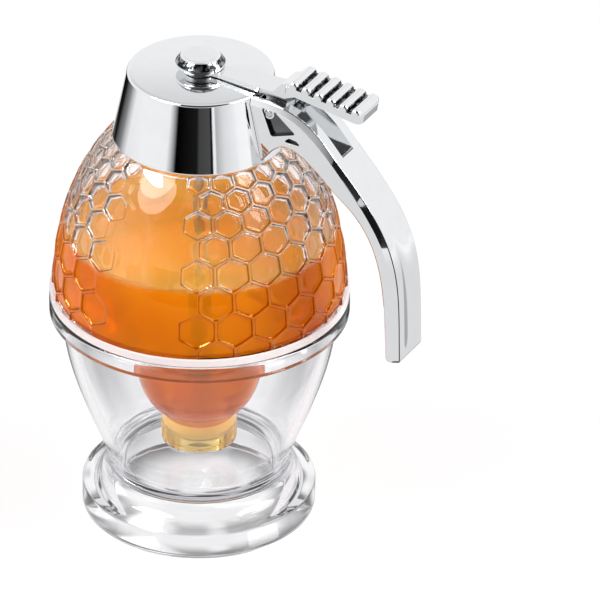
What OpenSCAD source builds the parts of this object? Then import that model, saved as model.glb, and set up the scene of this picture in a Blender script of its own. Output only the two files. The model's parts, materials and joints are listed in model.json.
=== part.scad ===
// Honey dispenser: a clear honeycomb jar under a chrome cap, held in a clear pedestal bowl.
// A thumb pad over the handle tips the lever, which lifts the rod and its stopper off the nozzle.
// The origin is on the dispenser's axis, in the face that it stands on. The handle points to +X.
// All heights are taken from that face, in millimetres.

/* [Stand] */
// Radius of the band round the foot
foot_r = 33.8; // [30:0.2:42]
// Height of the band round the foot
foot_band_h = 8.6; // [6:0.2:11]
// Chamfer under the foot's band
foot_chamfer = 1.6; // [0.6:0.1:2.4]
// Width of the flat ring that the foot stands on
foot_ring_w = 4; // [2.5:0.1:6]
// Radius of the waist
waist_r = 26.4; // [24:0.2:30]
// Height of the waist
waist_z = 17.5; // [15.5:0.1:20]
// Wall of the pedestal bowl
stand_wall = 2.4; // [1.8:0.1:3]
// Thickness of the bowl's floor
stand_floor_t = 3; // [2:0.1:4]
// How far the bowl's outside stands in from the rim band
rim_overhang = 4.1; // [2:0.1:5]
// Height of the rim's top, which carries the jar
stand_h = 70.1; // [66:0.1:78]
// Height of the rim band
rim_h = 5.5; // [4:0.1:8]

/* [Jar] */
// Radius of the flange that rests on the stand
flange_r = 43; // [41:0.1:48]
// Thickness of the flange
flange_t = 2.6; // [1.8:0.1:4]
// Width of the flange's ledge outside the jar's wall
flange_ledge = 0.6; // [0.5:0.1:3]
// How far the jar's wall stays upright above the flange before it leans in
belly_rise = 17.9; // [12:0.1:20]
// Radius of the jar at its shoulder, under the cap's edge
shoulder_r = 25.3; // [24:0.1:27]
// Height of the shoulder above the flange
shoulder_rise = 49; // [44:0.5:60]
// Wall of the jar
jar_wall = 2.2; // [1.6:0.1:3]
// Outer radius of the neck
neck_r = 17.8; // [16:0.1:18.4]
// Height of the neck above the shoulder
neck_h = 12.3; // [10:0.1:14]
// How far the funnel stands in from the flange's edge
funnel_inset = 6.9; // [6.6:0.1:9]
// Outer radius of the nozzle
nozzle_r = 11; // [9.6:0.1:13]
// Length of the straight nozzle
nozzle_len = 9; // [7.5:0.1:12]
// Height of the nozzle's lower end
nozzle_z = 23; // [21:0.1:26]
// Radius of the outlet
outlet_r = 5.6; // [5:0.1:6.4]
// Length of the outlet below its seat
outlet_len = 2; // [1:0.1:3]
// Length of the conical seat
seat_len = 3; // [2:0.1:4]

/* [Honeycomb] */
// Number of cells round the jar
comb_columns = 24; // [16:1:30]
// Height of a cell against that of a regular hexagon
comb_squat = 0.895; // [0.8:0.005:1.1]
// Height of the ribs between the cells
comb_rib_h = 0.6; // [0.2:0.05:0.8]
// Width of a rib at its foot
comb_rib_w = 2.1; // [1.6:0.1:3]
// Width of a rib's flat top
comb_crest_w = 0.6; // [0.4:0.1:1.2]
// Height of the lowest whole row's centres above the flange
comb_low_rise = 8.5; // [5:0.1:10]
// Turn of that row's first cell from the handle
comb_turn = -2.3; // [-10:0.1:10]
// Turn of the smooth window's middle from the handle
window_turn = -84.8; // [-120:0.1:-60]
// Angle that the smooth window takes up
window_angle = 34; // [0:1:60]

/* [Cap] */
// How far the cap's top edge stands out beyond the inner ring
cap_crown_out = 1.1; // [0.4:0.1:3.2]
// Radius of the cap's lower edge
cap_low_r = 25; // [24:0.1:27]
// Height of the cap
cap_h = 20.6; // [18.6:0.1:24]
// Wall of the cap
cap_wall = 1.5; // [1.2:0.1:1.8]
// Thickness of the cap's top
cap_top_t = 1.8; // [1.4:0.1:2.2]
// Wall of the inner threaded ring
liner_wall = 1.5; // [1.2:0.1:1.7]
// Thickness of the inner plate
liner_plate_t = 2; // [1.6:0.1:2.6]
// Thickness of the sealing ring on the neck
gasket_t = 1.4; // [1:0.1:2]
// Inner radius of the spring cup
cup_r = 5.6; // [5.2:0.1:6.4]
// Wall of the spring cup
cup_wall = 1.4; // [1:0.1:2]
// Inner depth of the spring cup, below the inner plate's underside
cup_depth = 11; // [9:0.1:12]
// Radius of the circle that the inner plate's screws lie on
liner_screw_pitch_r = 11.4; // [11:0.1:12.2]
// Shank radius of the cap's screws
screw_r = 1.25; // [1:0.05:1.4]
// Head radius of the cap's screws
screw_head_r = 2.2; // [1.9:0.05:2.3]
// Head height of the cap's screws
screw_head_h = 1.2; // [1:0.05:1.4]

/* [Handle] */
// Width of the handle
handle_w = 15; // [13:0.1:18]
// Reach of the handle's outer face from the axis, at its lower end
handle_reach = 68.3; // [64:0.1:74]
// Height of the handle's lower end
handle_low_z = 68.6; // [62:0.2:76]
// Run of the handle's level crest, out from the cap's top edge
crest_run = 18.2; // [14:0.1:22]
// How far the handle's bend stands in from its lower end
bend_inset = 18.5; // [15:0.1:22]
// Depth of the bend below the cap's top
bend_drop = 16.8; // [14:0.1:20]
// Slope of the handle at its bend
bend_slope = 47.1; // [40:0.1:52]
// Length over which the crest turns down into the bend
crest_lead = 11.6; // [8:0.1:14]
// Length over which the leg leaves the bend
leg_lead = 28.4; // [22:0.1:32]
// Depth below the bend from which the leg hangs upright
leg_drop = 29.5; // [24:0.1:36]
// Run from the cap's top edge to the crest of the handle's underside
web_run = 10.4; // [8:0.1:13]
// Depth of that crest below the cap's top
web_drop = 13.4; // [12.6:0.1:16]
// Depth below the inner bend from which the leg's inner face hangs upright
knee_drop = 25.2; // [20:0.1:30]
// Thickness of the handle at its lower end
handle_low_t = 4.3; // [3.5:0.1:6]
// Thickness of the handle at its bend
handle_bend_t = 8.5; // [7.5:0.1:9.5]
// Depth of the bevel along the outer face, across the side
bevel_depth = 1.9; // [0.8:0.1:2.4]
// Width of that bevel, across the outer face
bevel_w = 0.9; // [0.4:0.1:1.4]
// Width of the channel for the lever
channel_w = 6.3; // [5.4:0.1:7.5]
// Radius of the rounding round the handle's lower end
handle_end_r = 1.8; // [0.8:0.1:2]
// Depth of the shallow dish down the leg's outer face
dish_depth = 0.5; // [0.1:0.1:0.8]
// Width of that dish
dish_w = 8.4; // [6:0.1:10]

/* [Lever] */
// Distance of the pivot from the axis
pivot_x = 25.8; // [25.2:0.1:27]
// Depth of the pivot below the cap's top
pivot_drop = 3.8; // [3.4:0.1:4.4]
// Radius of the pivot pin
pin_r = 1.2; // [1:0.05:1.4]
// Thickness of the lever's arm
arm_t = 1.4; // [1.2:0.1:1.8]
// Width of the arm beside the knob
arm_w_knob = 5; // [4.4:0.1:6]
// Width of the arm at the cap's edge
arm_w_cap = 8.3; // [7:0.1:10]
// Width of the thumb pad
pad_w = 12; // [10:0.1:14]
// Length of the thumb pad
pad_len = 24.3; // [22:0.1:30]
// Thickness of the thumb pad under its ridges
pad_t = 2.4; // [1.8:0.1:3]
// Height of the pad's rear edge above the cap's top
pad_rise = 5.8; // [5:0.1:7]
// Slope of the thumb pad
pad_slope = 9.7; // [6:0.1:12]
// Number of ridges on the thumb pad
ridge_count = 6; // [4:1:7]
// Height of each ridge
ridge_r = 1.75; // [1.2:0.05:1.8]

/* [Rod and stopper] */
// Radius of the rod
rod_r = 2; // [1.8:0.05:2.2]
// Radius of the threaded stud at the rod's lower end
stud_r = 1.5; // [1.3:0.05:1.6]
// Radius of the knob's flange
knob_r = 7.1; // [6.4:0.1:8]
// Height of the knob above its flange's underside
knob_h = 3.1; // [2.6:0.1:3.6]
// Radius of the stopper's neck
stopper_neck_r = 4.2; // [3.6:0.1:4.8]
// Length of the stopper, from its lower face to its washer
stopper_len = 20; // [16:0.2:26]
// Wire radius of the return spring
wire_r = 0.4; // [0.3:0.02:0.5]
// Mean radius of the return spring
spring_r = 4.1; // [3.8:0.05:4.4]
// Turns of the return spring
spring_turns = 5; // [4:1:6]

/* [Clearances] */
// Gap between the jar's funnel and the stand's rim, and between the neck and the inner ring
loose_gap = 0.4; // [0.3:0.05:0.6]
// Gap between the cap's edge and the jar's shoulder
cap_gap = 0.5; // [0.3:0.05:0.9]
// Gap between the lever and the channel's walls
side_gap = 0.3; // [0.2:0.05:0.4]
// Gap between the arm and the cap, and between the stopper and its seat
rest_gap = 0.3; // [0.25:0.05:0.35]
// Radial clearance of a shaft that runs in a bore
run_gap = 0.06; // [0.03:0.01:0.09]
// Radial clearance of a screw, pin or insert that stays put
fix_gap = 0.03; // [0.02:0.01:0.05]

/* [Hidden] */
$fn = 96;

EPS = 0.01;
CURVE_STEPS = 14;

// Stand, and the jar's radii that go with it
jar_r = flange_r - flange_ledge;
funnel_r = flange_r - funnel_inset;
foot_recess_z = waist_z - stand_floor_t - 0.8;
bowl_floor_z = foot_recess_z + stand_floor_t;
rim_inner_r = funnel_r + loose_gap;
rim_outer_r = flange_r + 0.1;
bowl_top_r = rim_outer_r - rim_overhang;
rim_low_z = stand_h - rim_h;

// Jar and funnel
flange_top_z = stand_h + flange_t;
shoulder_z = flange_top_z + shoulder_rise;
neck_top_z = shoulder_z + neck_h;
neck_in_r = neck_r - jar_wall;
nozzle_top_z = nozzle_z + nozzle_len;
nozzle_in_r = nozzle_r - 2;
seat_low_z = nozzle_z + outlet_len;
seat_top_z = seat_low_z + seat_len;

// Cap
cap_low_z = shoulder_z + cap_gap;
cap_top_z = cap_low_z + cap_h;
plate_low_z = neck_top_z + gasket_t;
plate_top_z = plate_low_z + liner_plate_t;
cap_roof_z = cap_top_z - cap_top_t;
liner_in_r = neck_r + loose_gap;
liner_out_r = liner_in_r + liner_wall;
cap_top_r = liner_out_r + cap_crown_out;
cap_slope = (cap_low_r - cap_top_r) / cap_h;
cup_floor_z = plate_low_z - cup_depth;
seal_r = 0.9;
seal_seat_r = rod_r + run_gap + 2 * seal_r;
cup_base_z = cup_floor_z - 2 * seal_r;
cup_skin_t = 0.8;
bush_flange_t = 1.3;
bush_r = rod_r + 1.8;
bush_flange_r = spring_r + wire_r + 0.8;

// Rod, spring and stopper
spring_top_z = cap_roof_z - bush_flange_t;
washer_t = 0.8;
clip_t = 0.6;
clip_z = cup_floor_z + 0.8;
washer_z = clip_z + clip_t;
spring_low_z = washer_z + washer_t;
groove_r = rod_r - 0.45;
stopper_z = seat_low_z + rest_gap + 0.05;
stopper_top_z = stopper_z + stopper_len;
rod_shoulder_z = stopper_top_z + washer_t;
nut_h = 2.3;
nut_flats = 5.5;
arm_z = cap_top_z + rest_gap;
knob_z = arm_z + arm_t + 0.2;
knob_top_z = knob_z + knob_h;

// Lever and handle
pivot_z = cap_top_z - pivot_drop;
knuckle_r = pin_r + 1.8;
knuckle_w = channel_w - 2 * side_gap;
tine_tip_x = -2.6;
fork_r = rod_r + 3.2;
fork_slot_w = 2 * rod_r + 0.5;
pad_rear_x = pivot_x + 4.7;
pad_rear_z = cap_top_z + pad_rise;
ridge_pitch = (pad_len - 4.2) / (ridge_count - 1);
boss_r = pin_r + 0.5;
pocket_depth = 1.2;
handle_screw_y = 4.5;
handle_screw_z = cap_top_z - 12.2;
handle_screw_len = 8;

module chrome() { color([0.86, 0.87, 0.88]) children(); }
module steel() { color([0.66, 0.67, 0.69]) children(); }
module clear_plastic() { color([0.93, 0.95, 0.97, 0.45]) children(); }
module silicone() { color([0.90, 0.88, 0.84]) children(); }
module white_plastic() { color([0.92, 0.92, 0.90]) children(); }

// A point of the cubic curve with the four control points p, at t from 0 to 1
function curve_point(p, t) =
    pow(1 - t, 3) * p[0] + 3 * pow(1 - t, 2) * t * p[1]
    + 3 * (1 - t) * pow(t, 2) * p[2] + pow(t, 3) * p[3];
function curve(p, steps = CURVE_STEPS) = [for (i = [0:steps]) curve_point(p, i / steps)];
// The same curve set in by a distance along its normal, to the left of its direction
function curve_tangent(p, t) =
    let (d = curve_point(p, min(t + 0.01, 1)) - curve_point(p, max(t - 0.01, 0)))
    d / norm(d);
function inset_curve(p, depth, steps = CURVE_STEPS) =
    [for (i = [0:steps]) let (t = i / steps, d = curve_tangent(p, t))
        curve_point(p, t) + depth * [-d[1], d[0]]];
function reversed(list) = [for (i = [len(list) - 1:-1:0]) list[i]];

// ---- Stand ----
stand_bowl = [
    [waist_r, waist_z], [waist_r, waist_z + 4.5],
    [bowl_top_r + 1.9, rim_low_z - 15.2], [bowl_top_r, rim_low_z]
];
stand_flare = [
    [foot_r - 1.2, foot_band_h + 0.8], [foot_r - 5.2, foot_band_h + 1.6],
    [waist_r, waist_z - 5], [waist_r, waist_z]
];

module stand() {
    recess_top_r = waist_r - stand_wall - 1.4;
    clear_plastic() rotate_extrude() polygon(concat(
        [
            [foot_r - foot_chamfer - foot_ring_w, 0], [foot_r - foot_chamfer, 0],
            [foot_r, foot_chamfer], [foot_r, foot_band_h]
        ],
        curve(stand_flare), curve(stand_bowl),
        [
            [rim_outer_r - 0.4, rim_low_z], [rim_outer_r, rim_low_z + 0.4],
            [rim_outer_r, stand_h - 0.5], [rim_outer_r - 0.5, stand_h],
            [rim_inner_r + 0.4, stand_h], [rim_inner_r, stand_h - 0.4]
        ],
        [for (q = reversed(inset_curve(stand_bowl, stand_wall))) if (q[1] > bowl_floor_z + 3) q],
        [
            [waist_r - stand_wall - 3, bowl_floor_z], [0, bowl_floor_z],
            [0, foot_recess_z], [recess_top_r - 2, foot_recess_z],
            [recess_top_r - 0.4, foot_recess_z - 0.8], [recess_top_r, foot_recess_z - 2.6]
        ]
    ));
}

// ---- Funnel and jar: two clear mouldings, bonded at the flange ----
funnel_outer = [
    [funnel_r, stand_h], [funnel_r, stand_h - 11],
    [nozzle_r + 8, nozzle_top_z + 0.8], [nozzle_r, nozzle_top_z]
];
funnel_inner = [
    [funnel_r - jar_wall, stand_h], [funnel_r - jar_wall, stand_h - 10],
    [nozzle_in_r + 7, nozzle_top_z + 2.8], [nozzle_in_r, nozzle_top_z + 1]
];

module funnel() {
    clear_plastic() rotate_extrude() polygon(concat(
        [[outlet_r, nozzle_z], [nozzle_r - 0.5, nozzle_z], [nozzle_r, nozzle_z + 0.5]],
        reversed(curve(funnel_outer)),
        [
            [flange_r - 0.4, stand_h], [flange_r, stand_h + 0.4],
            [flange_r, flange_top_z - 0.4], [flange_r - 0.4, flange_top_z],
            [jar_r - jar_wall, flange_top_z]
        ],
        curve(funnel_inner),
        [[nozzle_in_r, seat_top_z], [outlet_r, seat_low_z]]
    ));
}

jar_outer = [
    [jar_r, flange_top_z], [jar_r, flange_top_z + belly_rise],
    [shoulder_r + 11, shoulder_z - 10.8], [shoulder_r, shoulder_z]
];
jar_inner = [
    [jar_r - jar_wall, flange_top_z], [jar_r - jar_wall, flange_top_z + belly_rise],
    [shoulder_r + 8, shoulder_z - 11.4], [neck_in_r + 6, shoulder_z - jar_wall]
];

// The honeycomb is laid out in half columns round the jar and thirds of a row up it. The jar's
// outline, drawn on straight past both ends, gives each height its place in the rows.
OUTLINE_STEPS = 28;
outline_end = 14;
comb_outline = concat(
    [jar_outer[0] - [0, outline_end]],
    curve(jar_outer, OUTLINE_STEPS),
    [jar_outer[3] + outline_end * curve_tangent(jar_outer, 1)]
);
function row_h(r) = comb_squat * sqrt(3) * PI * r / comb_columns;
function rows_between(a, b) = norm(b - a) / row_h((a[0] + b[0]) / 2);
OUTLINE_ENDS = len(comb_outline) - 1;
function running_sums(list) =
    [for (i = 0, sum = 0; i < len(list); sum = sum + list[i], i = i + 1) sum];
rows_passed = running_sums([
    for (i = [0:OUTLINE_ENDS])
        i < OUTLINE_ENDS ? rows_between(comb_outline[i], comb_outline[i + 1]) : 0
]);
passed_at_z = [for (i = [0:OUTLINE_ENDS]) [comb_outline[i][1], rows_passed[i]]];
function row_at(z) = lookup(z, passed_at_z) - lookup(flange_top_z + comb_low_rise, passed_at_z);
r_of_row = [for (q = comb_outline) [row_at(q[1]), q[0]]];
z_of_row = [for (q = comb_outline) [row_at(q[1]), q[1]]];
comb_low_row = floor(row_at(flange_top_z) + 1 / 3);
comb_top_row = ceil(row_at(shoulder_z) - 1 / 3);

// The point of the jar's outside at a place in the lattice, sunk by a depth along its normal
function comb_point(place, depth) =
    let (
        turn = comb_turn + (place[0] + 2 * comb_columns) % (2 * comb_columns) * 180 / comb_columns,
        row = place[1] / 3, step = 0.1,
        rise = lookup(row + step, z_of_row) - lookup(row - step, z_of_row),
        lean = lookup(row + step, r_of_row) - lookup(row - step, r_of_row),
        r = lookup(row, r_of_row) - depth * rise / norm([rise, lean]),
        z = lookup(row, z_of_row) + depth * lean / norm([rise, lean])
    )
    [r * cos(turn), r * sin(turn), z];

CELL_CORNERS = [[0, 2], [1, 1], [1, -1], [0, -2], [-1, -1], [-1, 1]];
function in_window(place) =
    abs((comb_turn + place[0] * 180 / comb_columns - window_turn + 540) % 360 - 180) < window_angle / 2;

// The triangles of one cell: half of each rib's top, the ribs' slopes and the floor
function comb_cell(column, row) =
    let (
        place = [2 * column + abs(row) % 2, 3 * row],
        half_cell = PI * lookup(row, r_of_row) / comb_columns,
        depth = in_window(place) ? 0 : comb_rib_h,
        edge = [for (c = CELL_CORNERS) comb_point(place + c, 0)],
        crest = [for (c = CELL_CORNERS) comb_point(place + (1 - comb_crest_w / 2 / half_cell) * c, 0)],
        foot = [for (c = CELL_CORNERS) comb_point(place + (1 - comb_rib_w / 2 / half_cell) * c, depth)],
        middle = comb_point(place, depth)
    )
    [for (i = [0:5]) let (j = (i + 1) % 6) each [
        [edge[i], edge[j], crest[j]], [edge[i], crest[j], crest[i]],
        [crest[i], crest[j], foot[j]], [crest[i], foot[j], foot[i]], [foot[i], foot[j], middle]
    ]];

// The zigzag edge of the last row, up (1) or down (-1), closed by a fan round the axis
function comb_end(row, way) =
    let (hub = [0, 0, comb_point([0, 3 * row], 0)[2]])
    [for (column = [0:comb_columns - 1])
        let (place = [2 * column + abs(row) % 2, 3 * row],
            a = comb_point(place + [-way, way], 0), b = comb_point(place + [0, 2 * way], 0),
            c = comb_point(place + [way, way], 0))
        each [[hub, b, a], [hub, c, b]]];

module comb_body() {
    triangles = concat(
        [for (row = [comb_low_row:comb_top_row], column = [0:comb_columns - 1])
            each comb_cell(column, row)],
        comb_end(comb_low_row, -1), comb_end(comb_top_row, 1)
    );
    polyhedron(
        [for (t = triangles) each t],
        [for (i = [0:len(triangles) - 1]) [3 * i, 3 * i + 1, 3 * i + 2]],
        convexity = 6
    );
}

module jar() {
    clear_plastic() difference() {
        union() {
            intersection() {
                comb_body();
                translate([0, 0, flange_top_z]) cylinder(h = shoulder_rise, r = flange_r);
            }
            rotate_extrude() polygon([
                [0, shoulder_z - 1], [neck_r + 2, shoulder_z - 1], [neck_r + 1, shoulder_z + 0.3],
                [neck_r, shoulder_z + 1.2], [neck_r, neck_top_z - 0.5], [neck_r - 0.5, neck_top_z],
                [0, neck_top_z]
            ]);
        }
        rotate_extrude() polygon(concat(
            [[0, flange_top_z - 1], [jar_inner[0][0], flange_top_z - 1]],
            curve(jar_inner),
            [
                [neck_in_r + 1, shoulder_z - jar_wall + 0.8], [neck_in_r, shoulder_z + 1.2],
                [neck_in_r, neck_top_z + 1], [0, neck_top_z + 1]
            ]
        ));
    }
}

module neck_gasket() {
    silicone() translate([0, 0, neck_top_z]) difference() {
        cylinder(h = gasket_t, r = neck_r + 0.1);
        translate([0, 0, -EPS]) cylinder(h = gasket_t + 2 * EPS, r = neck_in_r + 0.2);
    }
}

// ---- Cap ----
function cap_r_at(z) = cap_top_r + (cap_top_z - z) * cap_slope;

// Room for the cap's cone with a gap round it, which the handle's root is cut to
module cap_cone(grow) {
    translate([0, 0, cap_low_z - 5])
        cylinder(h = cap_h + 10, r1 = cap_r_at(cap_low_z - 5) + grow,
            r2 = cap_r_at(cap_top_z + 5) + grow);
}

module at_liner_screws() {
    for (i = [0:2]) rotate([0, 0, 60 + 120 * i]) translate([liner_screw_pitch_r, 0, 0]) children();
}

module at_handle_screws() {
    for (side = [-1, 1]) translate([0, side * handle_screw_y, handle_screw_z])
        rotate([0, 90, 0]) children();
}

// Flat face inside the cap that the handle's screw heads bear on
screw_pad_x = liner_out_r + screw_head_h + 0.35;
spot_face = 3;
side_drill = cap_low_r + 10;

module cap_shell() {
    edge = 0.8;
    chrome() difference() {
        union() {
            rotate_extrude() polygon([
                [0, cap_roof_z], [cap_r_at(cap_roof_z) - cap_wall, cap_roof_z],
                [cap_low_r - cap_wall, cap_low_z], [cap_low_r - 0.3, cap_low_z],
                [cap_low_r, cap_low_z + 0.3], [cap_r_at(cap_top_z - edge), cap_top_z - edge],
                [cap_top_r - 0.25 * edge, cap_top_z - 0.25 * edge],
                [cap_top_r - edge, cap_top_z], [0, cap_top_z]
            ]);
            at_liner_screws() translate([0, 0, plate_top_z])
                cylinder(h = cap_roof_z - plate_top_z + EPS, r = screw_r + 1.4);
            intersection() {
                translate([screw_pad_x, -handle_w / 2, handle_screw_z - screw_head_r - 0.6])
                    cube([10, handle_w, 2 * screw_head_r + 1.2]);
                cap_cone(-cap_wall / 2);
            }
        }
        translate([0, 0, cap_roof_z - 1]) cylinder(h = cap_top_t + 2, r = bush_r + fix_gap);
        at_liner_screws() translate([0, 0, plate_top_z - 1])
            cylinder(h = screw_shank_h - liner_plate_t + 1.3, r = screw_r + fix_gap);
        at_handle_screws() cylinder(h = side_drill, r = screw_r + fix_gap);
        at_handle_screws() translate([0, 0, screw_pad_x - spot_face])
            cylinder(h = spot_face, r = screw_head_r + 0.2);
    }
}

screw_shank_h = liner_plate_t + cap_roof_z - plate_top_z - 0.4;

module cap_liner() {
    ring_low_z = cap_low_z + 0.6;
    white_plastic() difference() {
        rotate_extrude() polygon([
            [rod_r + 4 * run_gap, cup_base_z - cup_skin_t], [cup_r + cup_wall, cup_base_z - cup_skin_t],
            [cup_r + cup_wall, plate_low_z], [liner_in_r, plate_low_z], [liner_in_r, ring_low_z],
            [liner_out_r, ring_low_z], [liner_out_r, plate_top_z], [cup_r, plate_top_z],
            [cup_r, cup_floor_z], [seal_seat_r, cup_floor_z], [seal_seat_r, cup_base_z],
            [rod_r + 4 * run_gap, cup_base_z]
        ]);
        at_liner_screws() translate([0, 0, plate_low_z - 1])
            cylinder(h = liner_plate_t + 2, r = screw_r + fix_gap);
    }
}

// A pan-head screw: the head below z = 0, the shank above it, with a cross recess in the head
module pan_screw(shank) {
    rotate_extrude() polygon([
        [0, shank], [screw_r - 0.4, shank], [screw_r, shank - 0.4], [screw_r, 0],
        [screw_head_r, 0], [screw_head_r, -0.6 * screw_head_h], [0.7 * screw_head_r, -screw_head_h],
        [0, -screw_head_h]
    ]);
}

module cross_recess() {
    for (turn = [0, 90]) rotate([0, 0, turn])
        translate([-screw_head_r / 2, -0.25, -screw_head_h - EPS]) cube([screw_head_r, 0.5, 0.6]);
}

module liner_screws() {
    steel() at_liner_screws() translate([0, 0, plate_low_z]) difference() {
        pan_screw(screw_shank_h);
        cross_recess();
    }
}

module handle_screws() {
    steel() at_handle_screws() translate([0, 0, screw_pad_x]) difference() {
        pan_screw(handle_screw_len);
        cross_recess();
    }
}

module rod_bush() {
    white_plastic() rotate_extrude() polygon([
        [rod_r + run_gap, spring_top_z], [bush_flange_r, spring_top_z], [bush_flange_r, cap_roof_z],
        [bush_r, cap_roof_z], [bush_r, cap_top_z - 0.1], [rod_r + run_gap, cap_top_z - 0.1]
    ]);
}

module rod_seal() {
    silicone() rotate_extrude()
        translate([rod_r + run_gap + seal_r, cup_base_z + seal_r]) circle(r = seal_r - 0.02, $fn = 32);
}

// ---- Handle ----
// The strap's side view: outer and inner edges, each from the cap to the lower end
bend_x = handle_reach - bend_inset;
bend_z = cap_top_z - bend_drop;
bend_way = [cos(bend_slope), -sin(bend_slope)];
handle_out_a = [
    [cap_top_r - 0.4, cap_top_z - 0.5], [cap_top_r + crest_run, cap_top_z - 0.5],
    [bend_x, bend_z] - crest_lead * bend_way, [bend_x, bend_z]
];
handle_out_b = [
    [bend_x, bend_z], [bend_x, bend_z] + leg_lead * bend_way,
    [handle_reach - 0.8, bend_z - leg_drop], [handle_reach, handle_low_z]
];
web_x = cap_top_r + web_run;
web_z = cap_top_z - web_drop;
knee_x = bend_x - 0.14 * handle_bend_t;
knee_z = bend_z - handle_bend_t;
knee_way = [cos(bend_slope - 11.4), -sin(bend_slope - 11.4)];
handle_in_web = [
    [web_x - 7.4, web_z - 6.2], [web_x - 5, web_z - 3], [web_x - 2.8, web_z], [web_x, web_z]
];
handle_in_a = [
    [web_x, web_z], [web_x + 5.9, web_z],
    [knee_x, knee_z] - 0.37 * crest_lead * knee_way, [knee_x, knee_z]
];
handle_in_b = [
    [knee_x, knee_z], [knee_x, knee_z] + 0.61 * leg_lead * knee_way,
    [handle_reach - handle_low_t - 1, knee_z - knee_drop],
    [handle_reach - handle_low_t, handle_low_z]
];
ROOT_STEPS = 5;
CREST_STEPS = 8;
LEG_STEPS = 12;
END_STEPS = 5;
// The lower end's rounding is limited by the leg's thickness there
end_r = min(handle_end_r, 0.45 * handle_low_t);
// The leg's stations lie closer together over that rounding
end_share = end_r / (3 * norm(handle_out_b[3] - handle_out_b[2]));
leg_stations = concat(
    [for (i = [1:LEG_STEPS]) (1 - end_share) * i / LEG_STEPS],
    [for (i = [1:END_STEPS]) 1 - end_share * (1 - sin(90 * i / END_STEPS))]
);
handle_outer = concat(
    [handle_out_a[0] - [5, 0]], curve(handle_out_a, ROOT_STEPS + CREST_STEPS),
    [for (t = leg_stations) curve_point(handle_out_b, t)]
);
handle_inner = concat(
    [handle_in_web[0] - [5, 3]], curve(handle_in_web, ROOT_STEPS),
    [for (i = [1:CREST_STEPS]) curve_point(handle_in_a, i / CREST_STEPS)],
    [for (t = leg_stations) curve_point(handle_in_b, t)]
);

// How far the strap's faces draw in at height z, rounding its lower end
function end_inset(z) =
    let (up = max(z - handle_low_z, 0)) up < end_r ? end_r - sqrt(end_r * end_r - pow(end_r - up, 2)) : 0;
// Depth of the dish at height z: it starts below the channel and runs out above the lower end
function dish_at(z) =
    let (from_top = (bend_z - 4 - z) / 12, from_low = (z - handle_low_z - end_r) / 2.5)
    dish_depth * max(0, min(1, from_top, from_low));

// Places across the dish, as shares of its half width
DISH_WAYS = [1, 0.5, 0, -0.5, -1];
function strap_section(outer, inner) =
    let (u = (inner - outer) / norm(inner - outer), inset = end_inset(outer[1]),
        o = outer + inset * u, i = inner - inset * u, w = handle_w / 2 - inset,
        c = 0.8, room = norm(i - o) - c,
        ob = o + min(bevel_depth, 0.6 * room) * u, ib = i - min(c, 0.3 * room) * u)
    concat(
        [[i[0], c - w, i[1]], [i[0], w - c, i[1]], [ib[0], w, ib[1]], [ob[0], w, ob[1]]],
        [[o[0], w - bevel_w, o[1]]],
        [for (way = DISH_WAYS)
            let (q = o + dish_at(outer[1]) * (1 - way * way) * u) [q[0], way * dish_w / 2, q[1]]],
        [[o[0], bevel_w - w, o[1]], [ob[0], -w, ob[1]], [ib[0], -w, ib[1]]]
    );

module handle_strap() {
    n = len(handle_outer);
    k = 8 + len(DISH_WAYS);
    points = [for (i = [0:n - 1]) each strap_section(handle_outer[i], handle_inner[i])];
    faces = concat(
        [for (j = [1:k - 2]) [0, j + 1, j]],
        [for (i = [0:n - 2], j = [0:k - 1])
            let (a = i * k + j, b = i * k + (j + 1) % k) each [[a, b, b + k], [a, b + k, a + k]]],
        [for (j = [1:k - 2]) [(n - 1) * k, (n - 1) * k + j, (n - 1) * k + j + 1]]
    );
    polyhedron(points, faces, convexity = 6);
}

// Channel in the strap's top for the lever's knuckle, closed at its far end
module lever_channel() {
    floor_z = pivot_z - knuckle_r - 0.6;
    out = bend_x + 4;
    translate([0, channel_w / 2, 0]) rotate([90, 0, 0]) linear_extrude(channel_w) polygon([
        [0, floor_z], [pivot_x + 4.5, floor_z], [bend_x - 3.9, bend_z + 1.1],
        [bend_x - 2.3, bend_z + 2.7], [out, bend_z + 9], [out, cap_top_z + 9],
        [0, cap_top_z + 9]
    ]);
}

// Pockets in each side: a three-cornered one with the pin's end in it, and a small lens below it
module side_pocket(side) {
    y0 = side > 0 ? handle_w / 2 - pocket_depth : -handle_w / 2 - 2;
    difference() {
        translate([0, y0 + pocket_depth + 2, 0]) rotate([90, 0, 0]) linear_extrude(pocket_depth + 2)
            union() {
                polygon([
                    [pivot_x - 2.2, pivot_z + 1.5], [pivot_x + 2.4, pivot_z + 0.9],
                    [pivot_x + 8.8, pivot_z - 4.4], [pivot_x + 1, pivot_z - 7]
                ]);
                polygon([
                    [web_x - 0.4, web_z + 2.1], [web_x + 1.3, web_z + 3.6],
                    [web_x + 3.6, web_z + 3.2], [web_x + 5.1, web_z + 1.9]
                ]);
            }
        translate([pivot_x, 0, pivot_z]) rotate([90, 0, 0])
            cylinder(h = handle_w - 0.8, r = boss_r, center = true, $fn = 32);
    }
}

module handle() {
    chrome() difference() {
        handle_strap();
        cap_cone(0.08);
        lever_channel();
        side_pocket(-1);
        side_pocket(1);
        translate([pivot_x, 0, pivot_z]) rotate([90, 0, 0])
            cylinder(h = handle_w + 2, r = pin_r + fix_gap, center = true);
        at_handle_screws() cylinder(h = screw_pad_x + handle_screw_len + 0.5, r = screw_r + fix_gap);
    }
}

module pivot_pin() {
    half = handle_w / 2 - 0.2;
    steel() translate([pivot_x, 0, pivot_z]) rotate([90, 0, 0]) rotate_extrude() polygon([
        [0, -half], [pin_r - 0.25, -half], [pin_r, 0.25 - half],
        [pin_r, half - 0.25], [pin_r - 0.25, half], [0, half]
    ]);
}

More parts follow.
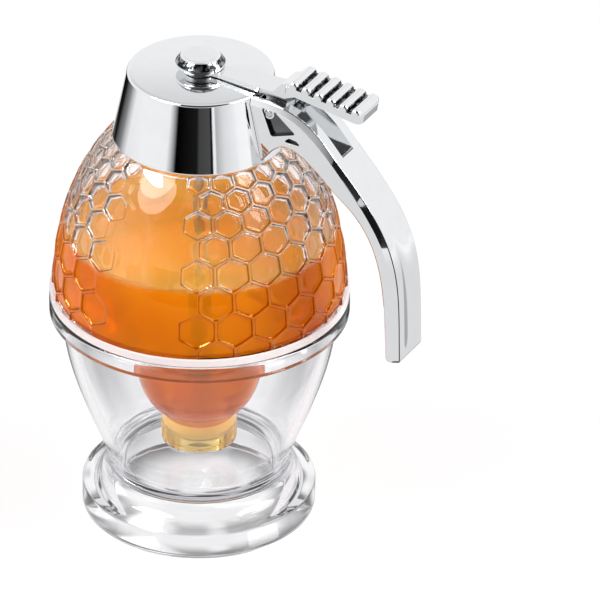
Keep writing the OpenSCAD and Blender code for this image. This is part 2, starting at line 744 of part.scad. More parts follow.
// ---- Lever ----
module arm_plan() {
    difference() {
        union() {
            circle(r = fork_r);
            polygon([
                [0, -arm_w_knob / 2], [knob_r, -arm_w_knob / 2], [cap_top_r, -arm_w_cap / 2],
                [pivot_x + 2.6, -arm_w_cap / 2], [pivot_x + 2.6, arm_w_cap / 2],
                [cap_top_r, arm_w_cap / 2], [knob_r, arm_w_knob / 2], [0, arm_w_knob / 2]
            ]);
        }
        circle(r = fork_slot_w / 2);
        translate([-knob_r, -fork_slot_w / 2]) square([knob_r, fork_slot_w]);
        translate([tine_tip_x - knob_r, -knob_r]) square([knob_r, 2 * knob_r]);
    }
}

module side_plate(points, width) {
    translate([0, width / 2, 0]) rotate([90, 0, 0]) linear_extrude(width) polygon(points);
}

// The pad's own frame: x runs down its slope from the rear edge of its top face
module on_pad() {
    translate([pad_rear_x, 0, pad_rear_z]) rotate([0, pad_slope, 0]) children();
}

module pad_plate() {
    r = 2;
    translate([0, 0, -pad_t]) linear_extrude(pad_t) union() {
        translate([0, -pad_w / 2]) square([pad_len - r, pad_w]);
        translate([pad_len - r - EPS, -pad_w / 2 + r]) square([r + EPS, pad_w - 2 * r]);
        for (side = [-1, 1]) translate([pad_len - r, side * (pad_w / 2 - r)]) circle(r = r, $fn = 32);
    }
}

// One half-round ridge across the pad, with its ends rounded off
module ridge() {
    intersection() {
        rotate([90, 0, 0]) cylinder(h = pad_w, r = ridge_r, center = true, $fn = 32);
        translate([-ridge_r, -pad_w / 2, 0]) cube([2 * ridge_r, pad_w, ridge_r]);
    }
}

module lever() {
    rear = [pad_rear_x + 0.2, pad_rear_z - 0.1];
    chrome() difference() {
        union() {
            translate([0, 0, arm_z]) linear_extrude(arm_t) arm_plan();
            side_plate([
                [cap_top_r + 0.8, arm_z + arm_t - 0.6], [pivot_x + 0.5, arm_z],
                [pivot_x + 3, arm_z], [pad_rear_x + 4, pad_rear_z - pad_t - 0.8],
                rear + [4, -1.2], rear, rear - [2.6, 0.9], [pivot_x - 0.4, arm_z + arm_t]
            ], arm_w_cap);
            side_plate([
                [pivot_x - knuckle_r, pivot_z], [pivot_x + knuckle_r, pivot_z],
                [pivot_x + knuckle_r + 1, arm_z + 0.6], [pivot_x - knuckle_r, arm_z + 0.6]
            ], knuckle_w);
            translate([pivot_x, 0, pivot_z]) rotate([90, 0, 0])
                cylinder(h = knuckle_w, r = knuckle_r, center = true);
            on_pad() {
                pad_plate();
                for (i = [0:ridge_count - 1]) translate([2.1 + i * ridge_pitch, 0, -EPS]) ridge();
            }
        }
        translate([pivot_x, 0, pivot_z]) rotate([90, 0, 0])
            cylinder(h = handle_w, r = pin_r + run_gap, center = true);
    }
}

// ---- Rod and stopper ----
module knob() {
    chrome() rotate_extrude() polygon([
        [rod_r + fix_gap, knob_z], [knob_r - 0.2, knob_z], [knob_r, knob_z + 0.2],
        [knob_r, knob_z + 0.8], [knob_r - 0.3, knob_z + 1.1],
        [knob_r - 1.6, knob_top_z - 0.4], [knob_r - 2, knob_top_z], [0, knob_top_z],
        [0, knob_top_z - 1.2], [rod_r + fix_gap, knob_top_z - 1.2]
    ]);
}

module plunger_rod() {
    steel() rotate_extrude() polygon([
        [0, stopper_z - nut_h - 0.4], [stud_r - 0.3, stopper_z - nut_h - 0.4],
        [stud_r, stopper_z - nut_h], [stud_r, rod_shoulder_z], [rod_r, rod_shoulder_z],
        [rod_r, clip_z - 0.05], [groove_r, clip_z - 0.05], [groove_r, washer_z],
        [rod_r, washer_z], [rod_r, knob_top_z - 1.3], [0, knob_top_z - 1.3]
    ]);
}

module spring_washer() {
    steel() translate([0, 0, washer_z]) difference() {
        cylinder(h = washer_t, r = spring_r + wire_r + 0.3);
        translate([0, 0, -EPS]) cylinder(h = washer_t + 2 * EPS, r = rod_r + fix_gap);
    }
}

module rod_clip() {
    steel() translate([0, 0, clip_z]) difference() {
        cylinder(h = clip_t, r = rod_r + 1.4);
        translate([0, 0, -EPS]) cylinder(h = clip_t + 2 * EPS, r = groove_r + fix_gap);
        translate([0, -0.9 * groove_r, -EPS]) cube([10, 1.8 * groove_r, clip_t + 2 * EPS]);
    }
}

// The spring is one unbroken wire from the washer up to the bush
module return_spring() {
    rings = 8;
    sides = 6;
    n = rings * spring_turns;
    low = spring_low_z + wire_r;
    high = spring_top_z - wire_r;
    rise = high - low;
    function wire_ring(i) =
        let (turn = 360 * i / rings, z = low + rise * i / n)
        [for (s = [0:sides - 1]) let (a = 360 * s / sides + 30, r = spring_r + wire_r * cos(a))
            [r * cos(turn), r * sin(turn), z + wire_r * sin(a) * 0.99]];
    points = [for (i = [0:n]) each wire_ring(i)];
    faces = concat(
        [for (s = [1:sides - 2]) [0, s, s + 1]],
        [for (i = [0:n - 1], s = [0:sides - 1])
            let (a = i * sides + s, b = i * sides + (s + 1) % sides)
            each [[a, b + sides, b], [a, a + sides, b + sides]]],
        [for (s = [1:sides - 2]) [n * sides, n * sides + s + 1, n * sides + s]]
    );
    echo(spring_gap = rise / spring_turns - 2 * wire_r);
    steel() polyhedron(points, faces, convexity = 10);
}

module stopper() {
    seat_rise = rest_gap + 0.05;
    head_r = nozzle_in_r - 0.5;
    head_z = seat_low_z + seat_rise + seat_len * (head_r - outlet_r) / (nozzle_in_r - outlet_r);
    shoulder = [
        [head_r, head_z + 0.8], [head_r, head_z + 3.2],
        [stopper_neck_r, head_z + 3.4], [stopper_neck_r, head_z + 7.5]
    ];
    silicone() rotate_extrude() polygon(concat(
        [
            [stud_r + fix_gap, stopper_z], [outlet_r, stopper_z], [head_r, head_z]
        ],
        curve(shoulder, 8),
        [[stopper_neck_r, stopper_top_z], [stud_r + fix_gap, stopper_top_z]]
    ));
}

module stopper_washer() {
    steel() translate([0, 0, stopper_top_z]) difference() {
        cylinder(h = washer_t, r = stopper_neck_r - 0.4);
        translate([0, 0, -EPS]) cylinder(h = washer_t + 2 * EPS, r = stud_r + fix_gap);
    }
}

module stopper_nut() {
    steel() translate([0, 0, stopper_z - nut_h]) difference() {
        cylinder(h = nut_h, r = nut_flats / sqrt(3), $fn = 6);
        translate([0, 0, -EPS]) cylinder(h = nut_h + 2 * EPS, r = stud_r + fix_gap);
    }
}

stand();
funnel();
jar();
neck_gasket();
cap_shell();
cap_liner();
liner_screws();
rod_bush();
rod_seal();
handle();
handle_screws();
pivot_pin();
lever();
knob();
plunger_rod();
spring_washer();
rod_clip();
return_spring();
stopper();
stopper_washer();
stopper_nut();
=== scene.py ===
"""Looks of the honey dispenser: clear mouldings, chrome cap, handle and lever, and the honey in the jar."""
import json
import math

import bmesh
import bpy
import numpy as np
from mathutils import Matrix, Vector


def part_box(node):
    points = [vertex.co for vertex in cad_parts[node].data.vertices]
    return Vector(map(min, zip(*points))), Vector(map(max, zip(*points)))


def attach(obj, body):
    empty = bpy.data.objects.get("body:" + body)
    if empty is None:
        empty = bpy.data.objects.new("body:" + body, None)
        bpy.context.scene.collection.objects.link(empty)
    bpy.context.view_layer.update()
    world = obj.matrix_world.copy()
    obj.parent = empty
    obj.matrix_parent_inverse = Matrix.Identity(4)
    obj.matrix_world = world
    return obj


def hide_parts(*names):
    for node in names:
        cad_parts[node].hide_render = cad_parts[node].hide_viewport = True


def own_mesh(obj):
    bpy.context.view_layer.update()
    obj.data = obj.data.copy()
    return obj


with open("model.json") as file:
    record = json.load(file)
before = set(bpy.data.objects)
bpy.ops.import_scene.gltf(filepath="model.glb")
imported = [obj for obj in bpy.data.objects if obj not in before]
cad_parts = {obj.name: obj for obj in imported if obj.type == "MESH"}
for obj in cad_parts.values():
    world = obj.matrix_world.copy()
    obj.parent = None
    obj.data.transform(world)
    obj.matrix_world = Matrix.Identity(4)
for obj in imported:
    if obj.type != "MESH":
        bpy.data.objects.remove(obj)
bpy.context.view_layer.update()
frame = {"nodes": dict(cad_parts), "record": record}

MM = 0.001
SEGMENTS = 192

# ---- Sizes in millimetres, from the frame where it holds them ----


def node_box(node):
    """Lowest and highest corner of a CAD node, in millimetres."""
    low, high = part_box(node)
    return low / MM, high / MM


STAND_LOW, STAND_HIGH = node_box("stand")
FUNNEL_LOW, _ = node_box("funnel")
JAR_LOW, JAR_HIGH = node_box("jar")
CAP_LOW, CAP_HIGH = node_box("cap_shell")
KNOB_LOW, KNOB_HIGH = node_box("knob")
HANDLE_LOW, HANDLE_HIGH = node_box("handle")
PIN_LOW, PIN_HIGH = node_box("pivot_pin")
SPRING_LOW, SPRING_HIGH = node_box("return_spring")

RIM_TOP = STAND_HIGH.z
RIM_R = -STAND_LOW.x
FLANGE_TOP = JAR_LOW.z
FLANGE_R = RIM_R - 0.1
JAR_R = FLANGE_R - 0.6
NECK_TOP = JAR_HIGH.z
SHOULDER = NECK_TOP - 12.3
NOZZLE_LOW = FUNNEL_LOW.z
CAP_TOP = CAP_HIGH.z
CAP_EDGE = CAP_LOW.z
CAP_R = CAP_HIGH.x

JAR_WALL = 2.2
NECK_R = 17.8
NECK_IN_R = NECK_R - JAR_WALL
SHOULDER_R = 25.3
CAP_TOP_R = 20.8
CAP_WALL = 1.5
CAP_ROOF_T = 1.8
CROWN = 0.25
CAP_SLOPE = (CAP_R - CAP_TOP_R) / (CAP_TOP - CAP_EDGE)
NOZZLE_R = 11
NOZZLE_TOP = NOZZLE_LOW + 9
SEAT_LOW = NOZZLE_LOW + 2
SEAT_TOP = SEAT_LOW + 3
OUTLET_R = 5.6
ROD_R = 2
HONEY_TOP = 92
SEAT_GAP = 0.04
CUP_R = 18.6

COMB_COLUMNS = 24
COMB_STEP = 360 / COMB_COLUMNS
COMB_SQUAT = 0.895
COMB_LOW_ROW = 5
COMB_LOW_ROW_Z = 81.2
COMB_EVEN_AZIMUTH = -9.8
COMB_ODD_AZIMUTH = -2.3
COMB_RIB_H = 0.6
COMB_RIB_HALF_W = 1.05
COMB_FLATTEN = 0.5
WINDOW_AZIMUTH = -84.8
WINDOW_HALF = 17


# ---- Outlines ----


def part_of(points, shares):
    """Points at the given shares of the way along the cubic curve with these four control points."""
    p = np.array([tuple(q) for q in points], float)
    t = np.array(shares, float)[:, None]
    q = (1 - t) ** 3 * p[0] + 3 * (1 - t) ** 2 * t * p[1] + 3 * (1 - t) * t ** 2 * p[2] + t ** 3 * p[3]
    return [tuple(x) for x in q]


def cubic(points, steps):
    return part_of(points, np.linspace(0, 1, steps + 1))


def rounded(points, closed=True, steps=5, hold=0.25):
    """A polyline with its corners rounded: a point may carry a radius as its third number.
    Points a hold past each rounding keep the flat stretches beside it flat when shaded smooth."""
    out = []
    n = len(points)
    for i, point in enumerate(points):
        here = np.array(point[:2], float)
        radius = point[2] if len(point) > 2 else 0
        if radius <= 0 or (not closed and i in (0, n - 1)):
            out.append(tuple(here))
            continue
        before = np.array(points[i - 1][:2], float) - here
        after = np.array(points[(i + 1) % n][:2], float) - here
        len_a, len_b = np.linalg.norm(before), np.linalg.norm(after)
        ua, ub = before / len_a, after / len_b
        half = math.acos(max(-1, min(1, float(ua @ ub)))) / 2
        reach = min(radius / math.tan(half), 0.45 * len_a, 0.45 * len_b)
        radius = reach * math.tan(half)
        centre = here + (ua + ub) / np.linalg.norm(ua + ub) * radius / math.sin(half)
        start, end = here + ua * reach, here + ub * reach
        va, vb = (start - centre) / radius, (end - centre) / radius
        sweep = math.acos(max(-1, min(1, float(va @ vb))))
        if hold and reach + hold < 0.5 * len_a:
            out.append(tuple(start + ua * hold))
        for k in range(steps + 1):
            f = k / steps
            v = (va * math.sin((1 - f) * sweep) + vb * math.sin(f * sweep)) / math.sin(sweep)
            out.append(tuple(centre + v * radius))
        if hold and reach + hold < 0.5 * len_b:
            out.append(tuple(end + ub * hold))
    return out


# ---- Meshes ----


def new_piece(name, bm, body, nodes, smooth=38):
    """Turns a mesh drawn in millimetres into a piece that rides on a body."""
    bmesh.ops.recalc_face_normals(bm, faces=bm.faces[:])
    bmesh.ops.scale(bm, vec=(MM, MM, MM), verts=bm.verts[:])
    mesh = bpy.data.meshes.new(name)
    bm.to_mesh(mesh)
    bm.free()
    mesh.shade_smooth()
    mesh.set_sharp_from_angle(angle=math.radians(smooth))
    piece = bpy.data.objects.new(name, mesh)
    bpy.context.scene.collection.objects.link(piece)
    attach(piece, body)
    if nodes:
        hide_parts(*nodes)
    return piece


def add_lathe(bm, profile, closed=True, segments=SEGMENTS):
    """Turns a profile of (r, z) points round the axis. Points on the axis become one vertex each."""
    rings = []
    for r, z in profile:
        if abs(r) < 1e-6:
            rings.append([bm.verts.new((0, 0, z))] * segments)
            continue
        angles = (2 * math.pi * k / segments for k in range(segments))
        rings.append([bm.verts.new((r * math.cos(a), r * math.sin(a), z)) for a in angles])
    pairs = list(zip(rings, rings[1:]))
    if closed:
        pairs.append((rings[-1], rings[0]))
    for low, high in pairs:
        for k in range(segments):
            j = (k + 1) % segments
            corners = [low[k], low[j], high[j], high[k]]
            face = [v for i, v in enumerate(corners) if v is not corners[i - 1]]
            if len(set(face)) > 2:
                bm.faces.new(face)
    return rings


def lathe(name, profile, body, nodes, slot, **kw):
    bm = bmesh.new()
    add_lathe(bm, profile, **kw)
    return new_piece(name, bm, body, nodes)


def add_loft(bm, sections):
    """Joins closed sections of equal length, with a face over each end."""
    rings = [[bm.verts.new(q) for q in section] for section in sections]
    for a, b in zip(rings, rings[1:]):
        for k in range(len(a)):
            j = (k + 1) % len(a)
            bm.faces.new([a[k], a[j], b[j], b[k]])
    bm.faces.new(rings[0][::-1])
    bm.faces.new(rings[-1])


def side_prism(outline, width, middle=0):
    """A solid from an outline of (x, z) points, as wide as given across the handle's plane."""
    bm = bmesh.new()
    add_loft(bm, [[(x, middle + y, z) for x, z in outline] for y in (-width / 2, width / 2)])
    return bm


def plan_prism(outline, low, high):
    """A solid from an outline of (x, y) points between two heights."""
    bm = bmesh.new()
    add_loft(bm, [[(x, y, z) for x, y in outline] for z in (low, high)])
    return bm


def cross_pin(x, z, radius, width):
    """A round bar across the handle's plane."""
    turns = [2 * math.pi * k / 64 for k in range(64)]
    return side_prism([(x + radius * math.cos(a), z + radius * math.sin(a)) for a in turns], width)


def joined(body, others, operation):
    """The union or difference of closed meshes."""
    parts = []
    for bm in (body, *others):
        bmesh.ops.recalc_face_normals(bm, faces=bm.faces[:])
        mesh = bpy.data.meshes.new("part")
        bm.to_mesh(mesh)
        bm.free()
        parts.append(bpy.data.objects.new("part", mesh))
        bpy.context.scene.collection.objects.link(parts[-1])
    for other in parts[1:]:
        step = parts[0].modifiers.new("step", "BOOLEAN")
        step.object = other
        step.operation = operation
        step.solver = "EXACT"
    seen = parts[0].evaluated_get(bpy.context.evaluated_depsgraph_get())
    result = bmesh.new()
    result.from_mesh(seen.to_mesh())
    bmesh.ops.remove_doubles(result, verts=result.verts[:], dist=2e-3)
    bmesh.ops.dissolve_degenerate(result, edges=result.edges[:], dist=2e-3)
    gaps = [edge for edge in result.edges if edge.is_boundary]
    bmesh.ops.holes_fill(result, edges=gaps, sides=4)
    for part in parts:
        bpy.data.objects.remove(part)
    return result


def soften(piece, width, segments=2, angle=32):
    """Rounds a piece's sharp edges and keeps its flat faces flat."""
    bevel = piece.modifiers.new("soft_edges", "BEVEL")
    bevel.width = width * MM
    bevel.segments = segments
    bevel.limit_method = "ANGLE"
    bevel.angle_limit = math.radians(angle)
    bevel.use_clamp_overlap = True
    bevel.harden_normals = True
    normals = piece.modifiers.new("flat_faces", "WEIGHTED_NORMAL")
    normals.keep_sharp = True


# ---- Stand ----


def stand_piece():
    bowl_top_r = RIM_R - 4.1
    rim_low = RIM_TOP - 5.5
    waist_r, waist_z, wall = 26.4, 17.5, 2.4
    floor_z = 16.7
    recess_z = 13.7
    foot_r, band_h = 33.8, 8.6
    bowl = [(waist_r, waist_z), (waist_r, waist_z + 4.5), (bowl_top_r + 1.9, rim_low - 15.2),
            (bowl_top_r, rim_low)]
    flare = [(foot_r - 1.2, band_h + 0.8), (foot_r - 5.2, band_h + 1.6), (waist_r, waist_z - 5),
             (waist_r, waist_z)]
    inner = inset(cubic(bowl, 40), wall)
    rim_in_r = 36.5
    profile = [
        (foot_r - 5.6, 0, 0.5), (foot_r - 1.6, 0, 0.5), (foot_r, 1.6, 1.2), (foot_r, band_h, 0.8),
        *cubic(flare, 16)[:-1], *cubic(bowl, 40),
        (RIM_R, rim_low + 0.2, 0.7), (RIM_R, RIM_TOP - SEAT_GAP, 0.9), (rim_in_r, RIM_TOP - SEAT_GAP, 0.7),
        *[q for q in reversed(inner) if floor_z + 3 < q[1] < rim_low + 1],
        (waist_r - wall - 1, floor_z, 2.6), (0, floor_z), (0, recess_z),
        (waist_r - wall - 1.6, recess_z, 1.6)
    ]
    return lathe("clear_stand", rounded(profile), "base", ["stand"], "clear_plastic")


def inset(points, depth):
    """The same run of points set in by a distance to the left of its direction."""
    p = np.array(points, float)
    d = np.gradient(p, axis=0)
    d /= np.linalg.norm(d, axis=1)[:, None]
    return [tuple(q) for q in p + depth * np.stack([-d[:, 1], d[:, 0]], axis=1)]


# ---- Jar: honeycomb body, flange, funnel and neck ----


def jar_outer_curve():
    return [(JAR_R, FLANGE_TOP), (JAR_R, FLANGE_TOP + 17.9), (SHOULDER_R + 11, SHOULDER - 10.8),
            (SHOULDER_R, SHOULDER)]


def jar_inner_curve():
    return [(JAR_R - JAR_WALL, FLANGE_TOP), (JAR_R - JAR_WALL, FLANGE_TOP + 17.9),
            (SHOULDER_R + 8, SHOULDER - 11.4), (NECK_IN_R + 6, SHOULDER - JAR_WALL)]


def funnel_curve():
    """The funnel's outside from the flange down to the nozzle: a shallow dish, and a cup below it."""
    top_r = FLANGE_R - 6.9
    dish = [(top_r, RIM_TOP - 1), (top_r - 5, RIM_TOP - 6.6), (CUP_R + 2, RIM_TOP - 7.6),
            (CUP_R, RIM_TOP - 18)]
    cup = [(CUP_R, RIM_TOP - 21), (CUP_R, NOZZLE_TOP + 8.5), (NOZZLE_R + 4.5, NOZZLE_TOP + 3.5),
           (NOZZLE_R, NOZZLE_TOP + 0.8)]
    return cubic(dish, 30) + cubic(cup, 30)


def inner_wall():
    """The jar's inside, from the outlet up to the neck's edge."""
    funnel = [q for q in inset(funnel_curve(), -JAR_WALL) if q[0] > NOZZLE_R - 2]
    return [
        (OUTLET_R, NOZZLE_LOW, 0.3), (OUTLET_R, SEAT_LOW), (NOZZLE_R - 2, SEAT_TOP),
        (NOZZLE_R - 2, funnel[-1][1] - 0.4), *reversed(funnel),
        (JAR_R - JAR_WALL - 1.4, RIM_TOP + JAR_WALL), (JAR_R - JAR_WALL, RIM_TOP + JAR_WALL + 1.1),
        *cubic(jar_inner_curve(), 40)[1:], (NECK_IN_R + 0.6, SHOULDER - 1, 1.5),
        (NECK_IN_R, SHOULDER + 1.4, 1.5), (NECK_IN_R, NECK_TOP, 0.5)
    ]


class Comb:
    """The honeycomb's lattice. u counts columns round the jar and v counts rows down its outline."""

    def __init__(self):
        line = np.array(cubic(jar_outer_curve(), 200)[::-1])
        up = line[0] + (line[0] - line[1]) * 60
        down = line[-1] + (line[-1] - line[-2]) * 80
        line = np.vstack([np.linspace(up, line[0], 60)[:-1], line, np.linspace(line[-1], down, 80)[1:]])
        step = np.linalg.norm(np.diff(line, axis=0), axis=1)
        mean_r = (line[1:, 0] + line[:-1, 0]) / 2
        pitch = COMB_SQUAT * math.sqrt(3) / 2 * 2 * math.pi * mean_r / COMB_COLUMNS
        v = np.concatenate([[0], np.cumsum(step / pitch)])
        low_row_v = np.interp(-COMB_LOW_ROW_Z, -line[:, 1], v)
        self.v = v - low_row_v + COMB_LOW_ROW
        self.line = line
        tangent = np.gradient(line, axis=0)
        tangent /= np.linalg.norm(tangent, axis=1)[:, None]
        self.normal = np.stack([-tangent[:, 1], tangent[:, 0]], axis=1)

    def at(self, v):
        r, z = (np.interp(v, self.v, self.line[:, k]) for k in (0, 1))
        nr, nz = (np.interp(v, self.v, self.normal[:, k]) for k in (0, 1))
        return r, z, nr, nz

    def azimuth(self, u, row):
        start = COMB_ODD_AZIMUTH if row % 2 else COMB_EVEN_AZIMUTH
        return start + COMB_STEP * u

    def in_window(self, azimuth):
        off = (azimuth - WINDOW_AZIMUTH + 180) % 360 - 180
        return abs(off) < WINDOW_HALF

    def point(self, azimuth, v, depth):
        r, z, nr, nz = self.at(v)
        a = math.radians(azimuth)
        r, z = r - depth * nr, z - depth * nz
        return (r * math.cos(a), r * math.sin(a), z)


SIDE_STEPS = 6
RIB_STEPS = (0, 0.14, 0.3, 0.46, 0.62, 0.8, 1)
FLOOR_STEPS = (0.72, 0.4)
# Rib levels whose faces get painted dark lines, a painted dark refraction round each sunk cell.
PAINTED_LINE_LEVELS = (2, 3)


def cell_rings(comb, azimuth, row, sunk):
    """Rings of points for one cell, from its rib's crest in to its floor."""
    r, _, _, _ = comb.at(row)
    width = 2 * math.pi * r / COMB_COLUMNS
    pitch = COMB_SQUAT * math.sqrt(3) / 2 * width
    corners = np.array([(0, -2 / 3), (0.5, -1 / 3), (0.5, 1 / 3), (0, 2 / 3), (-0.5, 1 / 3),
                        (-0.5, -1 / 3)])
    f = np.arange(SIDE_STEPS)[:, None] / SIDE_STEPS
    edge = np.vstack([a + (b - a) * f for a, b in zip(corners, np.roll(corners, -1, axis=0))])
    size = np.array([width, pitch])
    apothem = 0.48 * width
    round_r = np.linalg.norm(edge * size, axis=1)
    rings = []
    foot = 1 - COMB_RIB_HALF_W / apothem
    for way in [1 - k * (1 - foot) for k in RIB_STEPS] + [foot * k for k in FLOOR_STEPS]:
        away = min((1 - way) / (1 - foot), 1)
        soft = 0.5 * away * away
        hexagon = edge * way
        circle = edge * (way * apothem * 1.05 / round_r)[:, None]
        q = hexagon * (1 - soft) + circle * soft
        depth = COMB_RIB_H * (1 - math.cos(math.pi * away)) / 2 * sunk
        sag = COMB_FLATTEN * sunk * away * away * (width / 2) ** 2 / (2 * r)
        across = np.clip(1 - (q[:, 0] / 0.5) ** 2, 0, 1)
        rings.append([comb.point(azimuth + COMB_STEP * a, row + b, depth + sag * c)
                      for (a, b), c in zip(q, across)])
    centre = comb.point(azimuth, row, (COMB_RIB_H + COMB_FLATTEN * (width / 2) ** 2 / (2 * r)) * sunk)
    return rings, centre


def add_comb(bm):
    comb = Comb()
    for row in range(-2, 9):
        for column in range(COMB_COLUMNS):
            azimuth = comb.azimuth(column, row)
            sunk = 0 if comb.in_window(azimuth) else 1
            rings, centre = cell_rings(comb, azimuth, row, sunk)
            verts = [[bm.verts.new(q) for q in ring] for ring in rings]
            n = len(verts[0])
            for level, (outer, inner) in enumerate(zip(verts, verts[1:])):
                for k in range(n):
                    j = (k + 1) % n
                    face = bm.faces.new([outer[k], outer[j], inner[j], inner[k]])
                    # Faces on these levels of a sunk cell get the painted dark refraction lines.
                    face.material_index = 1 if sunk and level in PAINTED_LINE_LEVELS else 0
            hub = bm.verts.new(centre)
            for k in range(n):
                bm.faces.new([verts[-1][k], verts[-1][(k + 1) % n], hub])
    bmesh.ops.remove_doubles(bm, verts=bm.verts[:], dist=2e-4)
    for z, side in ((FLANGE_TOP, -1), (SHOULDER, 1)):
        geometry = bm.verts[:] + bm.edges[:] + bm.faces[:]
        bmesh.ops.bisect_plane(bm, geom=geometry, dist=1e-5, plane_co=(0, 0, z), plane_no=(0, 0, side),
                               clear_outer=True)


def close_ring(bm, z):
    """Fills the flat ring between the honeycomb's cut edge and the turned part's edge."""
    edges = [e for e in bm.edges if e.is_boundary and all(abs(v.co.z - z) < 0.02 for v in e.verts)]
    for v in {v for e in edges for v in e.verts}:
        v.co.z = z
    bmesh.ops.triangle_fill(bm, use_beauty=True, edges=edges, normal=(0, 0, 1))


def reservoir_piece():
    bm = bmesh.new()
    add_comb(bm)
    turned = rounded([
        (NECK_R + 1.6, SHOULDER), (NECK_R, SHOULDER + 0.9, 0.8), (NECK_R, NECK_TOP, 0.5),
        *reversed(inner_wall()),
        (NOZZLE_R, NOZZLE_LOW, 0.6), *reversed(funnel_curve()), (FLANGE_R - 6.9, RIM_TOP),
        (FLANGE_R, RIM_TOP, 0.5), (FLANGE_R, FLANGE_TOP, 0.5), (FLANGE_R - 0.55, FLANGE_TOP)
    ], closed=False)
    add_lathe(bm, turned, closed=False)
    close_ring(bm, FLANGE_TOP)
    close_ring(bm, SHOULDER)
    return new_piece("reservoir_shell", bm, "reservoir", ["funnel", "jar"])


def honey_piece():
    """The contents: they fill the jar's inside up to their level, close to its wall."""
    gap = 0.03
    wall = rounded(inner_wall(), closed=False)
    side = [(r - gap, z) for r, z in wall if SEAT_TOP < z < HONEY_TOP + 0.9]
    top_r = side[-1][0]
    creep = [(top_r - 0.3, HONEY_TOP + 0.45), (top_r - 0.9, HONEY_TOP + 0.15), (top_r - 2, HONEY_TOP),
             (ROD_R + 2, HONEY_TOP), (0, HONEY_TOP)]
    profile = [(0, SEAT_LOW + 0.5), (OUTLET_R + 0.45, SEAT_LOW + 0.5), *side, *creep]
    return lathe("honey", profile, "reservoir", [], "clear_plastic", closed=False)


# ---- Cap and knob ----


def cap_piece():
    roof = CAP_TOP - CAP_ROOF_T
    hole_r = ROD_R + 1.8
    crown = [(r, CAP_TOP - CROWN * (r / CAP_TOP_R) ** 2) for r in np.linspace(5, CAP_TOP_R - 1.5, 12)]
    profile = rounded([
        (hole_r, CAP_TOP, 0.1), *crown, (CAP_TOP_R, CAP_TOP - CROWN, 0.7), (CAP_R, CAP_EDGE, 0.3),
        (CAP_R - CAP_WALL, CAP_EDGE, 0.3), (CAP_TOP_R + CAP_SLOPE * CAP_ROOF_T - CAP_WALL, roof, 0.6),
        (hole_r, roof)
    ])
    return lathe("cap_cover", profile, "cap", ["cap_shell"], "chrome", segments=256)


def knob_piece():
    r = KNOB_HIGH.x
    low, top = KNOB_LOW.z, KNOB_HIGH.z
    profile = rounded([
        (ROD_R, low), (r, low, 0.2), (r, low + 1, 0.35), (r - 1.3, top - 0.4, 0.8), (r - 2.0, top, 0.6),
        (0, top), (0, top - 1.2), (ROD_R, top - 1.2)
    ])
    return lathe("round_knob", profile, "plunger", ["knob"], "chrome")


# ---- Return spring ----

WIRE_R = 0.4
SPRING_R = 4.1
SPRING_TURNS = 5


def spring_piece():
    """The spring in the cap, riding on the plunger's body, with its upper end at rest in the cap."""
    low, high = SPRING_LOW.z + WIRE_R, SPRING_HIGH.z - WIRE_R
    sections = []
    for share in np.linspace(0, 1, 40 * SPRING_TURNS + 1):
        turn = 2 * math.pi * SPRING_TURNS * share
        section = []
        for a in np.radians(range(0, 360, 30)):
            r = SPRING_R + WIRE_R * math.cos(a)
            z = low + (high - low) * share + WIRE_R * math.sin(a)
            section.append((r * math.cos(turn), r * math.sin(turn), z))
        sections.append(section)
    bm = bmesh.new()
    add_loft(bm, sections)
    piece = new_piece("coil_spring", bm, "plunger", ["return_spring"])
    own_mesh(piece)
    return piece


# ---- Handle ----

HANDLE_REACH = HANDLE_HIGH.x
HANDLE_END = HANDLE_LOW.z
HANDLE_W = HANDLE_HIGH.y - HANDLE_LOW.y
HANDLE_END_T = 4.3
PIVOT = Vector(((PIN_LOW.x + PIN_HIGH.x) / 2, (PIN_LOW.z + PIN_HIGH.z) / 2))
PIN_R = (PIN_HIGH.x - PIN_LOW.x) / 2
BEND = Vector((HANDLE_REACH - 18.5, CAP_TOP - 16.8))
KNEE = BEND - Vector((1.19, 8.5))
WEB = Vector((CAP_TOP_R + 10.4, CAP_TOP - 13.4))
CHANNEL_W = 6.3
END_ROUND = 1.8
DISH_W = 8.4
DISH_DEPTH = 0.5
FINE = 4
BOSS_R = PIN_R + 0.5
CORNER_POCKET = [
    (PIVOT.x - 2.2, PIVOT.y + 1.5, 0.6), (PIVOT.x + 2.4, PIVOT.y + 0.9, 0.9),
    (PIVOT.x + 8.8, PIVOT.y - 4.4, 0.4), (PIVOT.x + 1, PIVOT.y - 7, 0.9)
]
LENS_POCKET = [
    (WEB.x - 0.4, WEB.y + 2.1, 0.3), (WEB.x + 1.3, WEB.y + 3.6, 0.8),
    (WEB.x + 3.6, WEB.y + 3.2, 0.8), (WEB.x + 5.1, WEB.y + 1.9, 0.3)
]


def slope_way(degrees):
    return Vector((math.cos(math.radians(degrees)), -math.sin(math.radians(degrees))))


